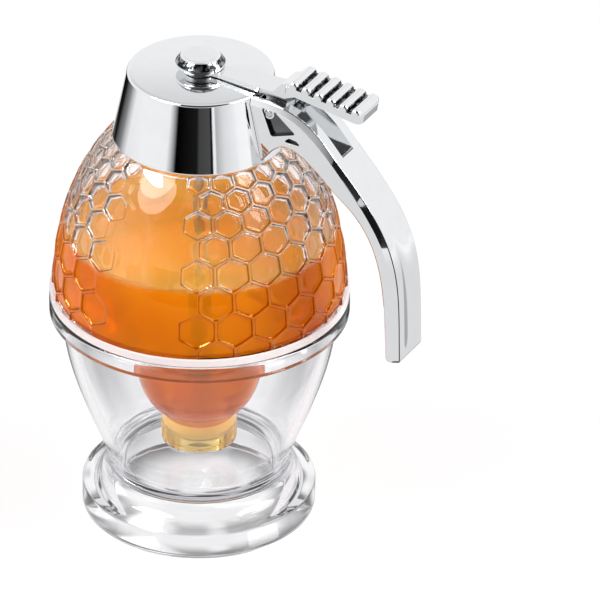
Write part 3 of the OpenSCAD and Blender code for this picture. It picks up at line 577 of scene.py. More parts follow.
def strap_stations():
    """Outer and inner edge of the strap's side view, station by station from the cap down."""
    out_a = [(CAP_TOP_R - 0.4, CAP_TOP - 0.5), (CAP_TOP_R + 18.2, CAP_TOP - 0.5),
             BEND - 11.6 * slope_way(47.1), BEND]
    out_b = [BEND, BEND + 28.4 * slope_way(47.1), (HANDLE_REACH - 0.8, BEND.y - 29.5),
             (HANDLE_REACH, HANDLE_END)]
    in_web = [WEB - Vector((7.4, 6.2)), WEB - Vector((5, 3)), WEB - Vector((2.8, 0)), WEB]
    in_a = [WEB, WEB + Vector((5.9, 0)), KNEE - 4.29 * slope_way(35.7), KNEE]
    in_b = [KNEE, KNEE + 17.3 * slope_way(35.7), (HANDLE_REACH - HANDLE_END_T - 1, KNEE.y - 25.2),
            (HANDLE_REACH - HANDLE_END_T, HANDLE_END)]
    root, crest, leg, end = 5 * FINE, 8 * FINE, 12 * FINE, 10
    end_share = END_ROUND / (3 * math.dist(out_b[2], out_b[3]))
    down = [(1 - end_share) * k / leg for k in range(1, leg + 1)]
    down += [1 - end_share * (1 - math.sin(math.pi / 2 * k / end)) for k in range(1, end + 1)]
    outer = part_of(out_a, np.linspace(0, 1, root + crest + 1)) + part_of(out_b, down)
    inner = part_of(in_web, np.linspace(0, 1, root + 1)) + part_of(in_a, np.linspace(0, 1, crest + 1)[1:])
    inner += part_of(in_b, down)
    return [(outer[0][0] - 5, outer[0][1])] + outer, [(inner[0][0] - 5, inner[0][1] - 3)] + inner


def strap_section(outer, inner):
    """One closed section across the strap: its dished outer face, bevels, sides and inner face."""
    outer, inner = np.array(outer), np.array(inner)
    thick = np.linalg.norm(inner - outer)
    u = (inner - outer) / thick
    up = max(outer[1] - HANDLE_END, 0)
    draw_in = END_ROUND - math.sqrt(END_ROUND ** 2 - (END_ROUND - up) ** 2) if up < END_ROUND else 0
    w, deep = HANDLE_W / 2 - draw_in, thick - draw_in
    fade = min(1, (BEND.y - 4 - outer[1]) / 12, (outer[1] - HANDLE_END - END_ROUND) / 2.5)
    dish = DISH_DEPTH * max(0, fade)
    floor = [(way * DISH_W / 2, draw_in + dish * (1 - way * way) ** 2) for way in np.linspace(-1, 1, 13)]
    line = [(-w, draw_in + 1.9, 0.9), (-w + 0.9, draw_in, 0.4), *floor, (w - 0.9, draw_in, 0.4),
            (w, draw_in + 1.9, 0.9), (w, deep, 0.7), (-w, deep, 0.7)]
    return [(*(outer + u * depth).tolist(), y) for y, depth in rounded(line, steps=4, hold=0)]


def handle_piece():
    bm = bmesh.new()
    sections = [strap_section(a, b) for a, b in zip(*strap_stations())]
    add_loft(bm, [[(x, y, z) for x, z, y in section] for section in sections])
    floor_z = PIVOT.y - PIN_R - 2.4
    out = BEND.x + 4
    channel = side_prism(rounded([
        (0, floor_z), (PIVOT.x + 4.5, floor_z, 3), (BEND.x - 3.9, BEND.y + 1.1, 0.8),
        (BEND.x - 2.3, BEND.y + 2.7), (out, BEND.y + 9), (out, CAP_TOP + 9), (0, CAP_TOP + 9)
    ], hold=0), CHANNEL_W)
    root = bmesh.new()
    add_lathe(root, [(0, CAP_EDGE - 9), (CAP_R + 9 * CAP_SLOPE + 0.08, CAP_EDGE - 9),
                     (CAP_TOP_R - 9 * CAP_SLOPE + 0.08, CAP_TOP + 9), (0, CAP_TOP + 9)], closed=False)
    cuts = [channel, root]
    for side in (-1, 1):
        middle = side * (HANDLE_W / 2 + 0.8)
        corner = side_prism(rounded(CORNER_POCKET, hold=0), 4, middle)
        boss = cross_pin(PIVOT.x, PIVOT.y, BOSS_R, HANDLE_W - 0.8)
        cuts.append(joined(corner, [boss], "DIFFERENCE"))
        cuts.append(side_prism(rounded(LENS_POCKET, hold=0), 4, middle))
    cuts.append(cross_pin(PIVOT.x, PIVOT.y, PIN_R + 0.03, HANDLE_W + 2))
    piece = new_piece("strap_handle", joined(bm, cuts, "DIFFERENCE"), "cap", ["handle"], smooth=30)
    soften(piece, 0.16)
    return piece


# ---- Lever ----

ARM_T = 1.4
ARM_LOW = CAP_TOP + 0.3
PAD_REAR = Vector((PIVOT.x + 4.7, CAP_TOP + 5.785))
PAD_SLOPE = math.radians(9.7)
PAD_W = 12
PAD_LEN = 24.3
PAD_T = 2.4
RIDGES = 6
RIDGE_R = 1.75
RIDGE_EDGE = 2.1
RIDGE_SPAN = PAD_LEN - 2 * RIDGE_EDGE


def on_pad(x, y, z):
    """A point of the pad's own frame: x runs down its slope from its rear edge."""
    return (PAD_REAR.x + x * math.cos(PAD_SLOPE) + z * math.sin(PAD_SLOPE), y,
            PAD_REAR.y - x * math.sin(PAD_SLOPE) + z * math.cos(PAD_SLOPE))


def arm_outline():
    """Plan of the arm: a fork round the rod, widening to the pivot."""
    fork_r, slot = ROD_R + 3.2, ROD_R + 0.25
    tip, side = -2.6, 2.5
    turns = np.radians(np.linspace(90, -90, 17))
    inner = [(slot * math.cos(a), slot * math.sin(a)) for a in turns]
    start = math.acos(tip / fork_r)
    stop = math.asin(side / fork_r)
    outer = [(fork_r * math.cos(a), -fork_r * math.sin(a)) for a in np.linspace(start, stop, 15)]
    half = [(tip, -slot, 0.5), (*outer[0], 0.5), *outer[1:], (KNOB_HIGH.x, -side, 6), (CAP_TOP_R, -4.15, 6),
            (PIVOT.x + 2.6, -4.15)]
    far = [(q[0], -q[1], *q[2:]) for q in reversed(half)]
    return rounded([*inner, *half, *far], hold=0)


def add_ridge(bm, x):
    """A half-round ridge across the pad, rounded off at both ends."""
    sections = []
    ways = np.sin(np.linspace(-math.pi / 2, math.pi / 2, 25))
    for way in ways:
        y = way * PAD_W / 2
        share = max(0, (abs(y) - PAD_W / 2 + 0.9) / 0.9)
        size = RIDGE_R * (0.55 + 0.45 * math.sqrt(max(0, 1 - share * share)))
        turns = np.linspace(0, math.pi, 17)
        section = [on_pad(x - size * math.cos(a), y, size * math.sin(a)) for a in turns]
        section += [on_pad(x + size, y, -0.6), on_pad(x - size, y, -0.6)]
        sections.append(section)
    add_loft(bm, sections)


def lever_piece():
    arm = plan_prism(arm_outline(), ARM_LOW, ARM_LOW + ARM_T)
    rear = PAD_REAR + Vector((0.2, -0.1))
    riser = side_prism(rounded([
        (CAP_TOP_R + 0.8, ARM_LOW + ARM_T - 0.6), (PIVOT.x + 0.5, ARM_LOW), (PIVOT.x + 3, ARM_LOW, 1),
        (PAD_REAR.x + 4, PAD_REAR.y - PAD_T - 0.8), (rear.x + 4, rear.y - 1.2), (rear.x, rear.y, 0.4),
        (rear.x - 2.6, rear.y - 0.9, 1), (PIVOT.x - 0.4, ARM_LOW + ARM_T, 2)
    ], hold=0), 8.3)
    knuckle_r = PIN_R + 1.8
    knuckle = side_prism([
        (PIVOT.x - knuckle_r, PIVOT.y), (PIVOT.x + knuckle_r, PIVOT.y),
        (PIVOT.x + knuckle_r + 1, ARM_LOW + 0.6), (PIVOT.x - knuckle_r, ARM_LOW + 0.6)
    ], CHANNEL_W - 0.6)
    barrel = cross_pin(PIVOT.x, PIVOT.y, knuckle_r, CHANNEL_W - 0.6)
    plate = bmesh.new()
    half = PAD_W / 2
    plan = rounded([(0, -half, 0.4), (PAD_LEN, -half, 2), (PAD_LEN, half, 2), (0, half, 0.4)], hold=0)
    add_loft(plate, [[on_pad(x, y, z) for x, y in plan] for z in (-PAD_T, 0)])
    ridges = []
    for k in range(RIDGES):
        ridge = bmesh.new()
        add_ridge(ridge, RIDGE_EDGE + k * RIDGE_SPAN / (RIDGES - 1))
        ridges.append(ridge)
    whole = joined(arm, [riser, knuckle, barrel, plate, *ridges], "UNION")
    whole = joined(whole, [cross_pin(PIVOT.x, PIVOT.y, PIN_R + 0.06, HANDLE_W)], "DIFFERENCE")
    piece = new_piece("thumb_lever", whole, "lever", ["lever"], smooth=30)
    soften(piece, 0.22)
    return piece


# ---- Materials ----

PLASTIC_IOR = 1.49
HONEY_IN_PLASTIC_IOR = 1.007


class Tree:
    """The nodes of a material or of the world, with short ways to add the common ones."""

    def __init__(self, owner):
        owner.use_nodes = True
        self.nodes = owner.node_tree.nodes
        self.link = owner.node_tree.links.new

    def math(self, operation, first, second=None, clamp=False):
        """The result of a math node. Each value is a number or a node's output."""
        node = self.nodes.new("ShaderNodeMath")
        node.operation = operation
        node.use_clamp = clamp
        for socket, value in zip(node.inputs, (first, second)):
            if isinstance(value, (int, float)):
                socket.default_value = value
            elif value is not None:
                self.link(value, socket)
        return node.outputs[0]

    def times(self, first, second):
        return self.math("MULTIPLY", first, second)

    def larger(self, first, second, clamp=False):
        return self.math("MAXIMUM", first, second, clamp)

    def less(self, first, second, clamp=False):
        return self.math("SUBTRACT", first, second, clamp)

    def vector(self, operation, first, second=None):
        """The outputs of a vector math node, whose second vector is a constant."""
        node = self.nodes.new("ShaderNodeVectorMath")
        node.operation = operation
        self.link(first, node.inputs[0])
        if second is not None:
            node.inputs[1].default_value = second
        return node.outputs

    def turn(self, vector):
        """The azimuth of a vector, in radians."""
        parts = self.nodes.new("ShaderNodeSeparateXYZ")
        self.link(vector, parts.inputs[0])
        return self.math("ARCTAN2", parts.outputs["Y"], parts.outputs["X"])

    def rays(self):
        return self.nodes.new("ShaderNodeLightPath").outputs

    def ramp(self, value, start, stop, low=0.0, high=1.0, kind="SMOOTHSTEP"):
        """Goes from low to high while the value goes from start to stop."""
        node = self.nodes.new("ShaderNodeMapRange")
        node.interpolation_type = kind
        for name, number in (("From Min", start), ("From Max", stop), ("To Min", low), ("To Max", high)):
            node.inputs[name].default_value = number
        self.link(value, node.inputs["Value"])
        return node.outputs["Result"]

    def noise(self, scale, detail=3, place=None):
        """Cloudy noise over the object's own coordinates, or over another vector."""
        texture = self.nodes.new("ShaderNodeTexNoise")
        texture.inputs["Scale"].default_value = scale
        texture.inputs["Detail"].default_value = detail
        if place is None:
            place = self.nodes.new("ShaderNodeTexCoord").outputs["Object"]
        self.link(place, texture.inputs["Vector"])
        return texture.outputs["Fac"]

    def spread(self, noise, low, high):
        """Noise stretched to run between two values."""
        return self.ramp(noise, 0.3, 0.7, low, high, kind="LINEAR")

    def colour_mix(self, share, first, second):
        mix = self.nodes.new("ShaderNodeMix")
        mix.data_type = "RGBA"
        mix.inputs["A"].default_value = (*first, 1)
        mix.inputs["B"].default_value = (*second, 1)
        self.link(share, mix.inputs["Factor"])
        return mix.outputs["Result"]

    def show_mix(self, share, second):
        """Shows the main shader, and the second one by its share."""
        mix = self.nodes.new("ShaderNodeMixShader")
        for socket, value in zip(mix.inputs, (share, self.nodes["Principled BSDF"].outputs["BSDF"], second)):
            self.link(value, socket)
        self.link(mix.outputs["Shader"], self.nodes["Material Output"].inputs["Surface"])


def surface(name):
    """A new material, its tree and its shader's inputs."""
    material = bpy.data.materials.new(name)
    tree = Tree(material)
    return material, tree, tree.nodes["Principled BSDF"].inputs


def vary_roughness(tree, inputs, scale, low, high):
    tree.link(tree.spread(tree.noise(scale), low, high), inputs["Roughness"])


def add_bump(tree, inputs, height, distance):
    bump = tree.nodes.new("ShaderNodeBump")
    bump.inputs["Strength"].default_value = 1
    bump.inputs["Distance"].default_value = distance
    tree.link(height, bump.inputs["Height"])
    tree.link(bump.outputs["Normal"], inputs["Normal"])


def absorb(tree, colour, density):
    """Fills the inside with a medium that takes up the light that isn't of this colour."""
    volume = tree.nodes.new("ShaderNodeVolumeAbsorption")
    volume.inputs["Color"].default_value = (*colour, 1)
    volume.inputs["Density"].default_value = density
    tree.link(volume.outputs["Volume"], tree.nodes["Material Output"].inputs["Volume"])


def let_lamps_through(tree, colour=(1, 1, 1)):
    """Mixes the shader with a transparent one on shadow rays."""
    clear = tree.nodes.new("ShaderNodeBsdfTransparent")
    clear.inputs["Color"].default_value = (*colour, 1)
    tree.show_mix(tree.rays()["Is Shadow Ray"], clear.outputs["BSDF"])


def opaque_material(name, colour, metallic, roughness, scale, tint=0.06):
    material, tree, inputs = surface(name)
    dark = [c * (1 - tint) for c in colour]
    tree.link(tree.colour_mix(tree.noise(scale), dark, colour), inputs["Base Color"])
    inputs["Metallic"].default_value = metallic
    vary_roughness(tree, inputs, scale * 0.3, *roughness)
    add_bump(tree, inputs, tree.noise(scale * 4), 2e-6)
    return material


def clear_material(name, ior, wave=1.5e-5, clarity=1, rough=(0, 0.02), tint=(0.99, 0.99, 1),
                   gloss=(1, 1, 1)):
    material, tree, inputs = surface(name)
    inputs["Base Color"].default_value = (*tint, 1)
    inputs["Specular Tint"].default_value = (*gloss, 1)
    inputs["Transmission Weight"].default_value = clarity
    inputs["IOR"].default_value = ior
    vary_roughness(tree, inputs, 60, *rough)
    add_bump(tree, inputs, tree.noise(110, detail=1), wave)
    let_lamps_through(tree)
    return material


def thick_material():
    """The stand's plastic: clear in its thin walls, greyer where the light's way in it is long."""
    material = clear_material("thick_plastic", PLASTIC_IOR)
    absorb(Tree(material), (0.6, 0.61, 0.66), 18)
    return material


def painted_shade_reflection_material():
    """Chrome with painted shade and painted dark reflection, for the pad's grooves and the knob's band:
    patches of it stay bright.
    """
    material, tree, inputs = surface("chrome_painted_shade_reflection")
    ramp = tree.nodes.new("ShaderNodeValToRGB")
    dark, bright = ramp.color_ramp.elements
    dark.position, dark.color = 0.46, (0.012, 0.013, 0.015, 1)
    bright.position, bright.color = 0.66, (0.5, 0.51, 0.52, 1)
    tree.link(tree.noise(700, detail=2), ramp.inputs["Fac"])
    tree.link(ramp.outputs["Color"], inputs["Base Color"])
    inputs["Metallic"].default_value = 1
    vary_roughness(tree, inputs, 300, 0.12, 0.25)
    add_bump(tree, inputs, tree.noise(900), 4e-6)
    return material


def honey_material(name, ior, colour, light_colour, clarity):
    material, tree, inputs = surface(name)
    cloud = tree.spread(tree.noise(32, detail=1), 0, 1)
    tree.link(tree.colour_mix(cloud, colour, light_colour), inputs["Base Color"])
    inputs["Transmission Weight"].default_value = clarity
    inputs["IOR"].default_value = ior
    vary_roughness(tree, inputs, 40, 0, 0.01)
    absorb(tree, (0.98, 0.8, 0), 25)
    let_lamps_through(tree, [math.sqrt(c) for c in colour])
    return material


def make_materials():
    """The looks by name: one for each of the record's slots, and more for single stretches of a piece."""
    return {
        "chrome": opaque_material("chrome", (0.86, 0.87, 0.88), 1, (0.03, 0.07), 220),
        # painted dark reflection for the roundings along the strap's edges
        "chrome_painted_edge_reflection": opaque_material("chrome_painted_edge_reflection", (0.07, 0.07, 0.08), 1, (0.1, 0.2), 300, tint=0.4),
        # painted shade for the handle's pockets
        "chrome_painted_pocket_shade": opaque_material("chrome_painted_pocket_shade", (0.2, 0.2, 0.21), 1, (0.1, 0.2), 150, tint=0.7),
        "steel": opaque_material("steel", (0.62, 0.62, 0.64), 1, (0.2, 0.34), 400),
        "silicone": opaque_material("silicone", (0.88, 0.86, 0.82), 0, (0.4, 0.55), 300),
        "white_plastic": opaque_material("white_plastic", (0.9, 0.9, 0.88), 0, (0.35, 0.5), 350),
        "clear_plastic": clear_material("clear_plastic", PLASTIC_IOR),
        "wet_wall": clear_material("wet_wall", HONEY_IN_PLASTIC_IOR, wave=0),
        "wet_outside": clear_material("wet_outside", PLASTIC_IOR, tint=(0.99, 0.95, 0.8),
                                      gloss=(1, 0.5, 0.1)),
        # painted dark refraction lines on the sunk cells' rib slopes, above and below the honey's level
        "comb_painted_dark_lines": clear_material("comb_painted_dark_lines", PLASTIC_IOR, tint=(0.22, 0.21, 0.2)),
        "wet_painted_dark_lines": clear_material("wet_painted_dark_lines", PLASTIC_IOR, tint=(0.34, 0.13, 0.04),
                                    gloss=(1, 0.6, 0.2)),
        "amber_wall": clear_material("amber_wall", PLASTIC_IOR, clarity=0.7, tint=(0.8, 0.5, 0.06)),
        "thick_plastic": thick_material(),
        # painted shade and painted dark reflection for the pad's grooves and the knob's band
        "painted_shade_reflection": painted_shade_reflection_material(),
        # painted light: a mostly matte white band on the flange's frosted edge
        "satin_painted_light_edge": clear_material("satin_painted_light_edge", PLASTIC_IOR, clarity=0.25, rough=(0.25, 0.4)),
        "honey_side": honey_material("honey_side", HONEY_IN_PLASTIC_IOR, (0.68, 0.19, 0.002),
                                     (0.84, 0.33, 0.008), 0.55),
        "honey_top": honey_material("honey_top", 1.15, (0.8, 0.46, 0.05), (0.88, 0.56, 0.1), 0.7),
    }


def paint(piece, *materials):
    piece.data.materials.clear()
    for material in materials:
        piece.data.materials.append(material)


def paint_where(piece, *tests):
    """Gives the faces that pass a test on their centre, in millimetres, and normal that test's material."""
    for face in piece.data.polygons:
        passed = [k for k, test in enumerate(tests, 1) if test(face.center / MM, face.normal)]
        face.material_index = passed[0] if passed else 0


# ---- Studio: lengths in metres, azimuths and elevations in degrees ----

# The side of the studio behind the object in the photo, and the dark wedges beside it.
VIEW_AZIMUTH = 118
WEDGE_WAVE = 0.34
WEDGE_EDGE = (0.2, 0.5)
WEDGE_DARK = 0.92

# Round dark patches: azimuth and elevation, cosines where they start and are full, darkness.
FRONT_PATCH = ((-62, 48), (0.6, 0.88), 0.94)
REAR_PATCH = ((122, 42), (0.968, 0.99), 0.3)
LEG_STREAK = ((80, 0), (0.975, 0.998), 0.55)

# Strewn dark patches: the noise's scale, where they start and are full, darkness.
SKY_BLOTCHES = (3.2, (0.44, 0.52), 0.97)
FOOT_BLOTCHES = (55, (0.4, 0.52), 0.92)

# The sky's strength for matte surfaces, the floor's own glow, its grey in mirrors, half its width.
SKY_LIGHT = 0.55
FLOOR_GLOW = 0.8
FLOOR_GREY = 0.18
FLOOR_HALF = 1.2

# Distances from the object's axis between which the floor's dark places set in or fade.
WEDGES_SET_IN = (0.03, 0.08)
FOOT_SET_IN = (0.018, 0.031)
FOOT_FADE = (0.03, 0.045)
GREY_FADE = (0.3, 0.6)

# Shares: what is left of the foot's patches in its middle, and what refracted rays lose of the wedges.
FOOT_MIDDLE = 0.05
WEDGES_LOST_THROUGH = 0.45

# Shades along the cards that only mirrors see: share of the way, brightness.
FRONT_SHADES = [
    (0, 1), (0.13, 0), (0.42, 0.01), (0.45, 0.06), (0.6, 0.08), (0.615, 0), (0.635, 0), (0.645, 1),
    (0.675, 1), (0.69, 0.5), (0.8, 0.8), (1, 1)
]
LEFT_SHADES = [(0, 0.5), (0.08, 0), (0.4, 0.01), (0.7, 0.25), (1, 1)]
CARD_STEPS = 12
LAMP_AIM = (0, 0, 0.08)

CAMERA_AZIMUTH, CAMERA_ELEVATION, CAMERA_ROLL = 28, 30.475, 0.599
CAMERA_AIM = (0.0263, 0.01179, 0.06872)
CAMERA_DISTANCE = 2.5
CAMERA_LENS = 524


def stage_item(name, bm, material):
    """A part of the studio from its mesh."""
    mesh = bpy.data.meshes.new(name)
    bm.to_mesh(mesh)
    bm.free()
    mesh.materials.append(material)
    item = bpy.data.objects.new(name, mesh)
    bpy.context.scene.collection.objects.link(item)
    return item


def seen_by_gloss(tree):
    """1 for camera, glossy and transmission rays."""
    rays = tree.rays()
    bent = tree.larger(rays["Is Glossy Ray"], rays["Is Transmission Ray"])
    return tree.larger(bent, rays["Is Camera Ray"])


def dark_wedges(tree, vector, both_sides):
    """How dark the studio is in a direction round the object: wedges on both sides of the view."""
    phase = tree.less(tree.turn(vector), math.radians(VIEW_AZIMUTH))
    wave = tree.math("COSINE", tree.times(phase, 2))
    off = tree.math("ABSOLUTE", tree.less(wave, WEDGE_WAVE))
    dark = tree.ramp(off, *WEDGE_EDGE, WEDGE_DARK, 0)
    behind = tree.math("GREATER_THAN", tree.math("COSINE", phase), 0)
    return tree.times(dark, tree.larger(behind, both_sides))


def blotches(tree, vector, scale, edge, dark):
    """Soft-edged dark patches strewn over a direction or a place."""
    return tree.ramp(tree.noise(scale, detail=1, place=vector), *edge, 0, dark)


def toward(azimuth, elevation):
    a, e = math.radians(azimuth), math.radians(elevation)
    return math.cos(a) * math.cos(e), math.sin(a) * math.cos(e), math.sin(e)


def round_patch(tree, way, centre, edge, dark):
    """A soft round dark patch about a direction."""
    return tree.ramp(tree.vector("DOT_PRODUCT", way, toward(*centre))["Value"], *edge, 0, dark)


def make_floor():
    """A pale floor. Mirrored and refracted rays see it glow, with the studio's dark places on it."""
    material, tree, inputs = surface("pale_floor")
    inputs["Base Color"].default_value = (0.86, 0.86, 0.87, 1)
    inputs["Roughness"].default_value = 0.9
    inputs["Specular IOR Level"].default_value = 0
    place = tree.nodes.new("ShaderNodeTexCoord").outputs["Object"]
    rays = tree.rays()
    through, gloss = rays["Is Transmission Ray"], rays["Is Glossy Ray"]
    length = tree.vector("LENGTH", place)["Value"]
    dark = tree.times(dark_wedges(tree, place, through), tree.ramp(length, *WEDGES_SET_IN))
    dark = tree.times(dark, tree.less(1, tree.times(through, WEDGES_LOST_THROUGH)))
    under = tree.times(tree.ramp(length, *FOOT_FADE, 1, 0), tree.ramp(length, *FOOT_SET_IN, FOOT_MIDDLE, 1))
    under = tree.times(under, blotches(tree, place, *FOOT_BLOTCHES))
    dark = tree.larger(dark, tree.times(under, through))
    dark = tree.times(dark, tree.larger(through, gloss))
    from_leg = tree.vector("SUBTRACT", place, (HANDLE_REACH * MM, 0, 0))["Vector"]
    streak = round_patch(tree, tree.vector("NORMALIZE", from_leg)["Vector"], *LEG_STREAK)
    grey = tree.times(tree.larger(streak, FLOOR_GREY), tree.ramp(length, *GREY_FADE, 1, 0))
    grey = tree.times(grey, tree.less(gloss, through, clamp=True))
    dark = tree.larger(dark, grey)
    glow = tree.nodes.new("ShaderNodeEmission")
    tree.link(tree.less(1, dark), glow.inputs["Strength"])
    share = tree.times(seen_by_gloss(tree), FLOOR_GLOW)
    share = tree.larger(share, tree.math("CEIL", dark), clamp=True)
    tree.show_mix(share, glow.outputs["Emission"])
    half = FLOOR_HALF
    bm = bmesh.new()
    bm.faces.new([bm.verts.new((x, y, 0)) for x, y in
                  ((-half, -half), (half, -half), (half, half), (-half, half))])
    plane = stage_item("floor", bm, material)


def make_world():
    """An even sky, with dark places in it that only mirrored or refracted rays see."""
    world = bpy.data.worlds.new("studio")
    bpy.context.scene.world = world
    tree = Tree(world)
    back = tree.nodes["Background"]
    tree.link(tree.ramp(seen_by_gloss(tree), 0, 1, SKY_LIGHT, 1, kind="LINEAR"), back.inputs["Strength"])
    place = tree.nodes.new("ShaderNodeTexCoord").outputs["Generated"]
    rays = tree.rays()
    through = rays["Is Transmission Ray"]
    patches = tree.larger(round_patch(tree, place, *FRONT_PATCH), round_patch(tree, place, *REAR_PATCH))
    mirrored = tree.times(patches, tree.less(rays["Is Glossy Ray"], through, clamp=True))
    wedges = tree.larger(dark_wedges(tree, place, 1), blotches(tree, place, *SKY_BLOTCHES))
    shade = tree.less(1, tree.larger(mirrored, tree.times(wedges, through)))
    grey = tree.nodes.new("ShaderNodeCombineColor")
    for channel in ("Red", "Green", "Blue"):
        tree.link(shade, grey.inputs[channel])
    tree.link(grey.outputs["Color"], back.inputs["Color"])


def card_material(name, azimuths, shades):
    """A glow with shades along the card from 0 to 1."""
    material = bpy.data.materials.new(name)
    tree = Tree(material)
    tree.nodes.clear()
    out = tree.nodes.new("ShaderNodeOutputMaterial")
    glow = tree.nodes.new("ShaderNodeEmission")
    tree.link(glow.outputs["Emission"], out.inputs["Surface"])
    turned = tree.nodes.new("ShaderNodeVectorRotate")
    turned.rotation_type = "Z_AXIS"
    turned.inputs["Angle"].default_value = -math.radians(sum(azimuths) / 2)
    tree.link(tree.nodes.new("ShaderNodeTexCoord").outputs["Object"], turned.inputs["Vector"])
    half = math.radians(abs(azimuths[1] - azimuths[0]) / 2)
    ramp = tree.nodes.new("ShaderNodeValToRGB")
    stops = ramp.color_ramp.elements
    while len(stops) < len(shades):
        stops.new(0.5)
    for stop, (share, shade) in zip(stops, shades):
        stop.position = share
        stop.color = (shade, shade, shade * 1.02, 1)
    along = tree.ramp(tree.turn(turned.outputs["Vector"]), -half, half, kind="LINEAR")
    tree.link(along, ramp.inputs["Fac"])
    tree.link(ramp.outputs["Color"], glow.inputs["Color"])
    return material


def mirror_card(name, azimuths, radius, heights, shades):
    """A curved card round the object that only mirrors see."""
    bm = bmesh.new()
    rows = []
    for k in range(CARD_STEPS + 1):
        a = math.radians(azimuths[0] + (azimuths[1] - azimuths[0]) * k / CARD_STEPS)
        rows.append([bm.verts.new((radius * math.cos(a), radius * math.sin(a), z)) for z in heights])
    for a, b in zip(rows, rows[1:]):
        bm.faces.new([a[0], b[0], b[1], a[1]])
    card = stage_item(name, bm, card_material(name, azimuths, shades))
    card.visible_camera = False
    card.visible_transmission = False
    card.visible_diffuse = False
    card.visible_shadow = False


def area_light(name, place, size, power):
    light = bpy.data.lights.new(name, "AREA")
    light.shape = "ELLIPSE"
    light.size, light.size_y = size
    light.energy = power
    lamp = bpy.data.objects.new(name, light)
    bpy.context.scene.collection.objects.link(lamp)
    lamp.location = place
    lamp.rotation_euler = (Vector(LAMP_AIM) - Vector(place)).to_track_quat("-Z", "Y").to_euler()
    lamp.visible_camera = False
    return lamp


def make_camera():
    """The camera that was fitted to the circles in the photo."""
    azimuth, elevation, roll = (math.radians(a) for a in (CAMERA_AZIMUTH, CAMERA_ELEVATION, CAMERA_ROLL))
    right = Vector((math.cos(azimuth), math.sin(azimuth), 0))
    up = Vector((-math.sin(azimuth) * math.sin(elevation), math.cos(azimuth) * math.sin(elevation),
                 math.cos(elevation)))
    back = right.cross(up)
    turned_right = right * math.cos(roll) + up * math.sin(roll)
    turned_up = up * math.cos(roll) - right * math.sin(roll)
    data = bpy.data.cameras.new("camera")
    data.sensor_width = 36
    data.lens = CAMERA_LENS
    data.clip_end = 20
    camera = bpy.data.objects.new("camera", data)
    bpy.context.scene.collection.objects.link(camera)
    turn = Matrix((turned_right, turned_up, back)).transposed()
    place = Vector(CAMERA_AIM) + back * CAMERA_DISTANCE
    camera.matrix_world = Matrix.Translation(place) @ turn.to_4x4()
    bpy.context.scene.camera = camera


def make_studio():
    make_world()
    make_floor()
    mirror_card("front_card", (-104, -12), 0.6, (0.0, 0.14), FRONT_SHADES)
    mirror_card("left_card", (136, 196), 0.3, (0.0, 0.09), LEFT_SHADES)
    area_light("key", (-0.5, -0.7, 1.1), (0.8, 0.8), 9)
    area_light("fill", (0.9, 0.3, 0.9), (0.9, 0.9), 13)
    shine = area_light("shine", (-0.75, -0.75, 1.25), (0.9, 0.3), 25)
    shine.visible_diffuse = False
    shine.visible_transmission = False
    bpy.context.scene.view_settings.view_transform = "Standard"
    cycles = bpy.context.scene.cycles
    cycles.max_bounces = 40
    cycles.transmission_bounces = 40
    cycles.glossy_bounces = 10
    cycles.transparent_max_bounces = 40


# ---- The object ----


def is_wet(centre, normal):
    """Faces of the jar's inside that the honey covers."""
    if not SEAT_LOW < centre.z < HONEY_TOP + 0.4:
        return False
    away = Vector((centre.x, centre.y, 0)).normalized()
    inside = normal.dot(away) < -0.05 or (normal.z > 0.5 and centre.length < 100)
    return inside and math.hypot(centre.x, centre.y) < JAR_R - 1.5


def is_flange_edge(centre):
    """The flange's satin edge and the ledge above it: a frosted band whose white is painted light for the
    brightness of the flange's refraction.
    """
    return RIM_TOP + 0.3 < centre.z < FLANGE_TOP + 0.01 and math.hypot(centre.x, centre.y) > JAR_R + 0.1


RESERVOIR_LOOKS = ("clear_plastic", "wet_wall", "wet_outside", "comb_painted_dark_lines", "wet_painted_dark_lines", "amber_wall",
                   "satin_painted_light_edge")


def reservoir_look(centre, normal, on_painted_line):
    """The look of one of the reservoir's faces."""
    r = math.hypot(centre.x, centre.y)
    if is_flange_edge(centre):
        return "satin_painted_light_edge"
    # Rib slopes get painted dark refraction lines.
    if on_painted_line:
        return "wet_painted_dark_lines" if centre.z < HONEY_TOP else "comb_painted_dark_lines"
    if is_wet(centre, normal):
        return "wet_wall"
    if SEAT_LOW + 1.5 < centre.z < NOZZLE_TOP + 2 and r > NOZZLE_R - 0.5:
        return "amber_wall"
    beside_honey = NOZZLE_TOP < centre.z < RIM_TOP - 2 or FLANGE_TOP < centre.z < HONEY_TOP
    return "wet_outside" if beside_honey else "clear_plastic"


def paint_reservoir(piece, looks):
    # The faces that add_comb marked for painted dark refraction lines.
    painted_lines = [face.material_index == 1 for face in piece.data.polygons]
    paint(piece, *[looks[name] for name in RESERVOIR_LOOKS])
    for face, on_painted_line in zip(piece.data.polygons, painted_lines):
        look = reservoir_look(face.center / MM, face.normal, on_painted_line)
        face.material_index = RESERVOIR_LOOKS.index(look)


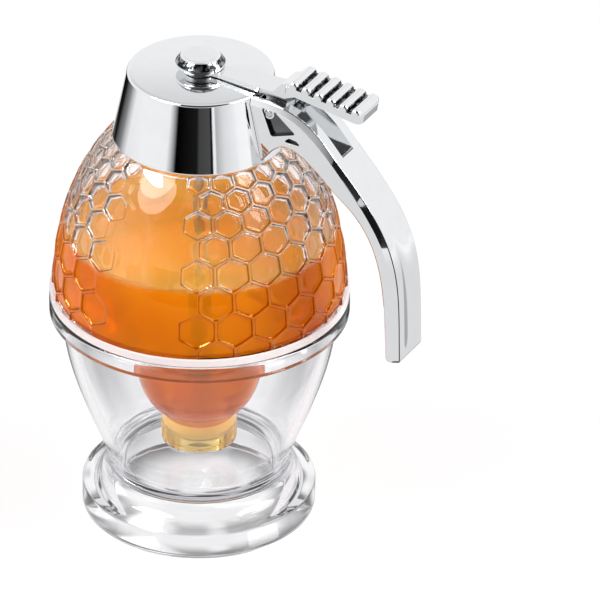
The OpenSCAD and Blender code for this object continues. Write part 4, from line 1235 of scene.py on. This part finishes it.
def is_painted_groove_shade(centre, normal):
    """The valleys between the pad's ridges, which get painted shade and painted dark reflection."""
    x, z = centre.x - PAD_REAR.x, centre.z - PAD_REAR.y
    along = x * math.cos(PAD_SLOPE) - z * math.sin(PAD_SLOPE)
    up = x * math.sin(PAD_SLOPE) + z * math.cos(PAD_SLOPE)
    step = RIDGE_SPAN / (RIDGES - 1)
    share = (along - RIDGE_EDGE) / step
    off = abs(share - round(share)) * step
    return -0.2 < up < 1.25 and 2 < along < PAD_LEN - 2 and off > 1.15


def is_painted_pocket_shade(centre, normal):
    """Floors and walls of the pockets in the handle's sides, but not the pin's boss: they get painted shade.
    """
    deep = HANDLE_W / 2 - 1.5 < abs(centre.y) < HANDLE_W / 2 - 0.05
    boss = math.dist((centre.x, centre.z), PIVOT) < BOSS_R + 0.01
    pockets = (CORNER_POCKET, LENS_POCKET)
    return deep and not boss and any(within(outline, centre.x, centre.z) for outline in pockets)


def within(outline, x, z, margin=0.05):
    """Whether a point lies in a convex outline that runs clockwise."""
    for (x0, z0, _), (x1, z1, _) in zip(outline, outline[1:] + outline[:1]):
        off = ((x1 - x0) * (z - z0) - (z1 - z0) * (x - x0)) / math.dist((x0, z0), (x1, z1))
        if off > margin:
            return False
    return True


def is_painted_strap_edge(centre, normal):
    """The narrow rounding along both edges of the strap's outer face, which gets a painted dark reflection.
    """
    return centre.z < BEND.y + 3 and normal.x > 0.1 and 0.3 < abs(normal.y) < 0.88


# The knob's sloping band, which gets a painted dark reflection.
def is_painted_knob_band(centre, normal):
    return KNOB_LOW.z + 0.9 < centre.z < KNOB_HIGH.z - 0.35


def dress():
    looks = make_materials()
    slots = {row["node"]: row["material_slot"] for row in frame["record"]["subparts"]}
    for node, obj in frame["nodes"].items():
        paint(obj, looks[slots[node]])
    paint(stand_piece(), looks["thick_plastic"])
    paint_reservoir(reservoir_piece(), looks)
    honey = honey_piece()
    paint(honey, looks["honey_side"], looks["honey_top"])
    paint_where(honey, lambda centre, normal: centre.z > HONEY_TOP - 0.2 and normal.z > 0.3)
    paint(cap_piece(), looks["chrome"])
    paint(spring_piece(), looks["steel"])
    handle = handle_piece()
    # The pockets get painted shade and the strap's edge roundings a painted dark reflection.
    paint(handle, looks["chrome"], looks["chrome_painted_pocket_shade"], looks["chrome_painted_edge_reflection"])
    paint_where(handle, is_painted_pocket_shade, is_painted_strap_edge)
    # The knob's band and the pad's valleys get chrome with painted shade and painted dark reflection.
    for piece, test in ((knob_piece(), is_painted_knob_band), (lever_piece(), is_painted_groove_shade)):
        paint(piece, looks["chrome"], looks["painted_shade_reflection"])
        paint_where(piece, test)


dress()
make_camera()
make_studio()
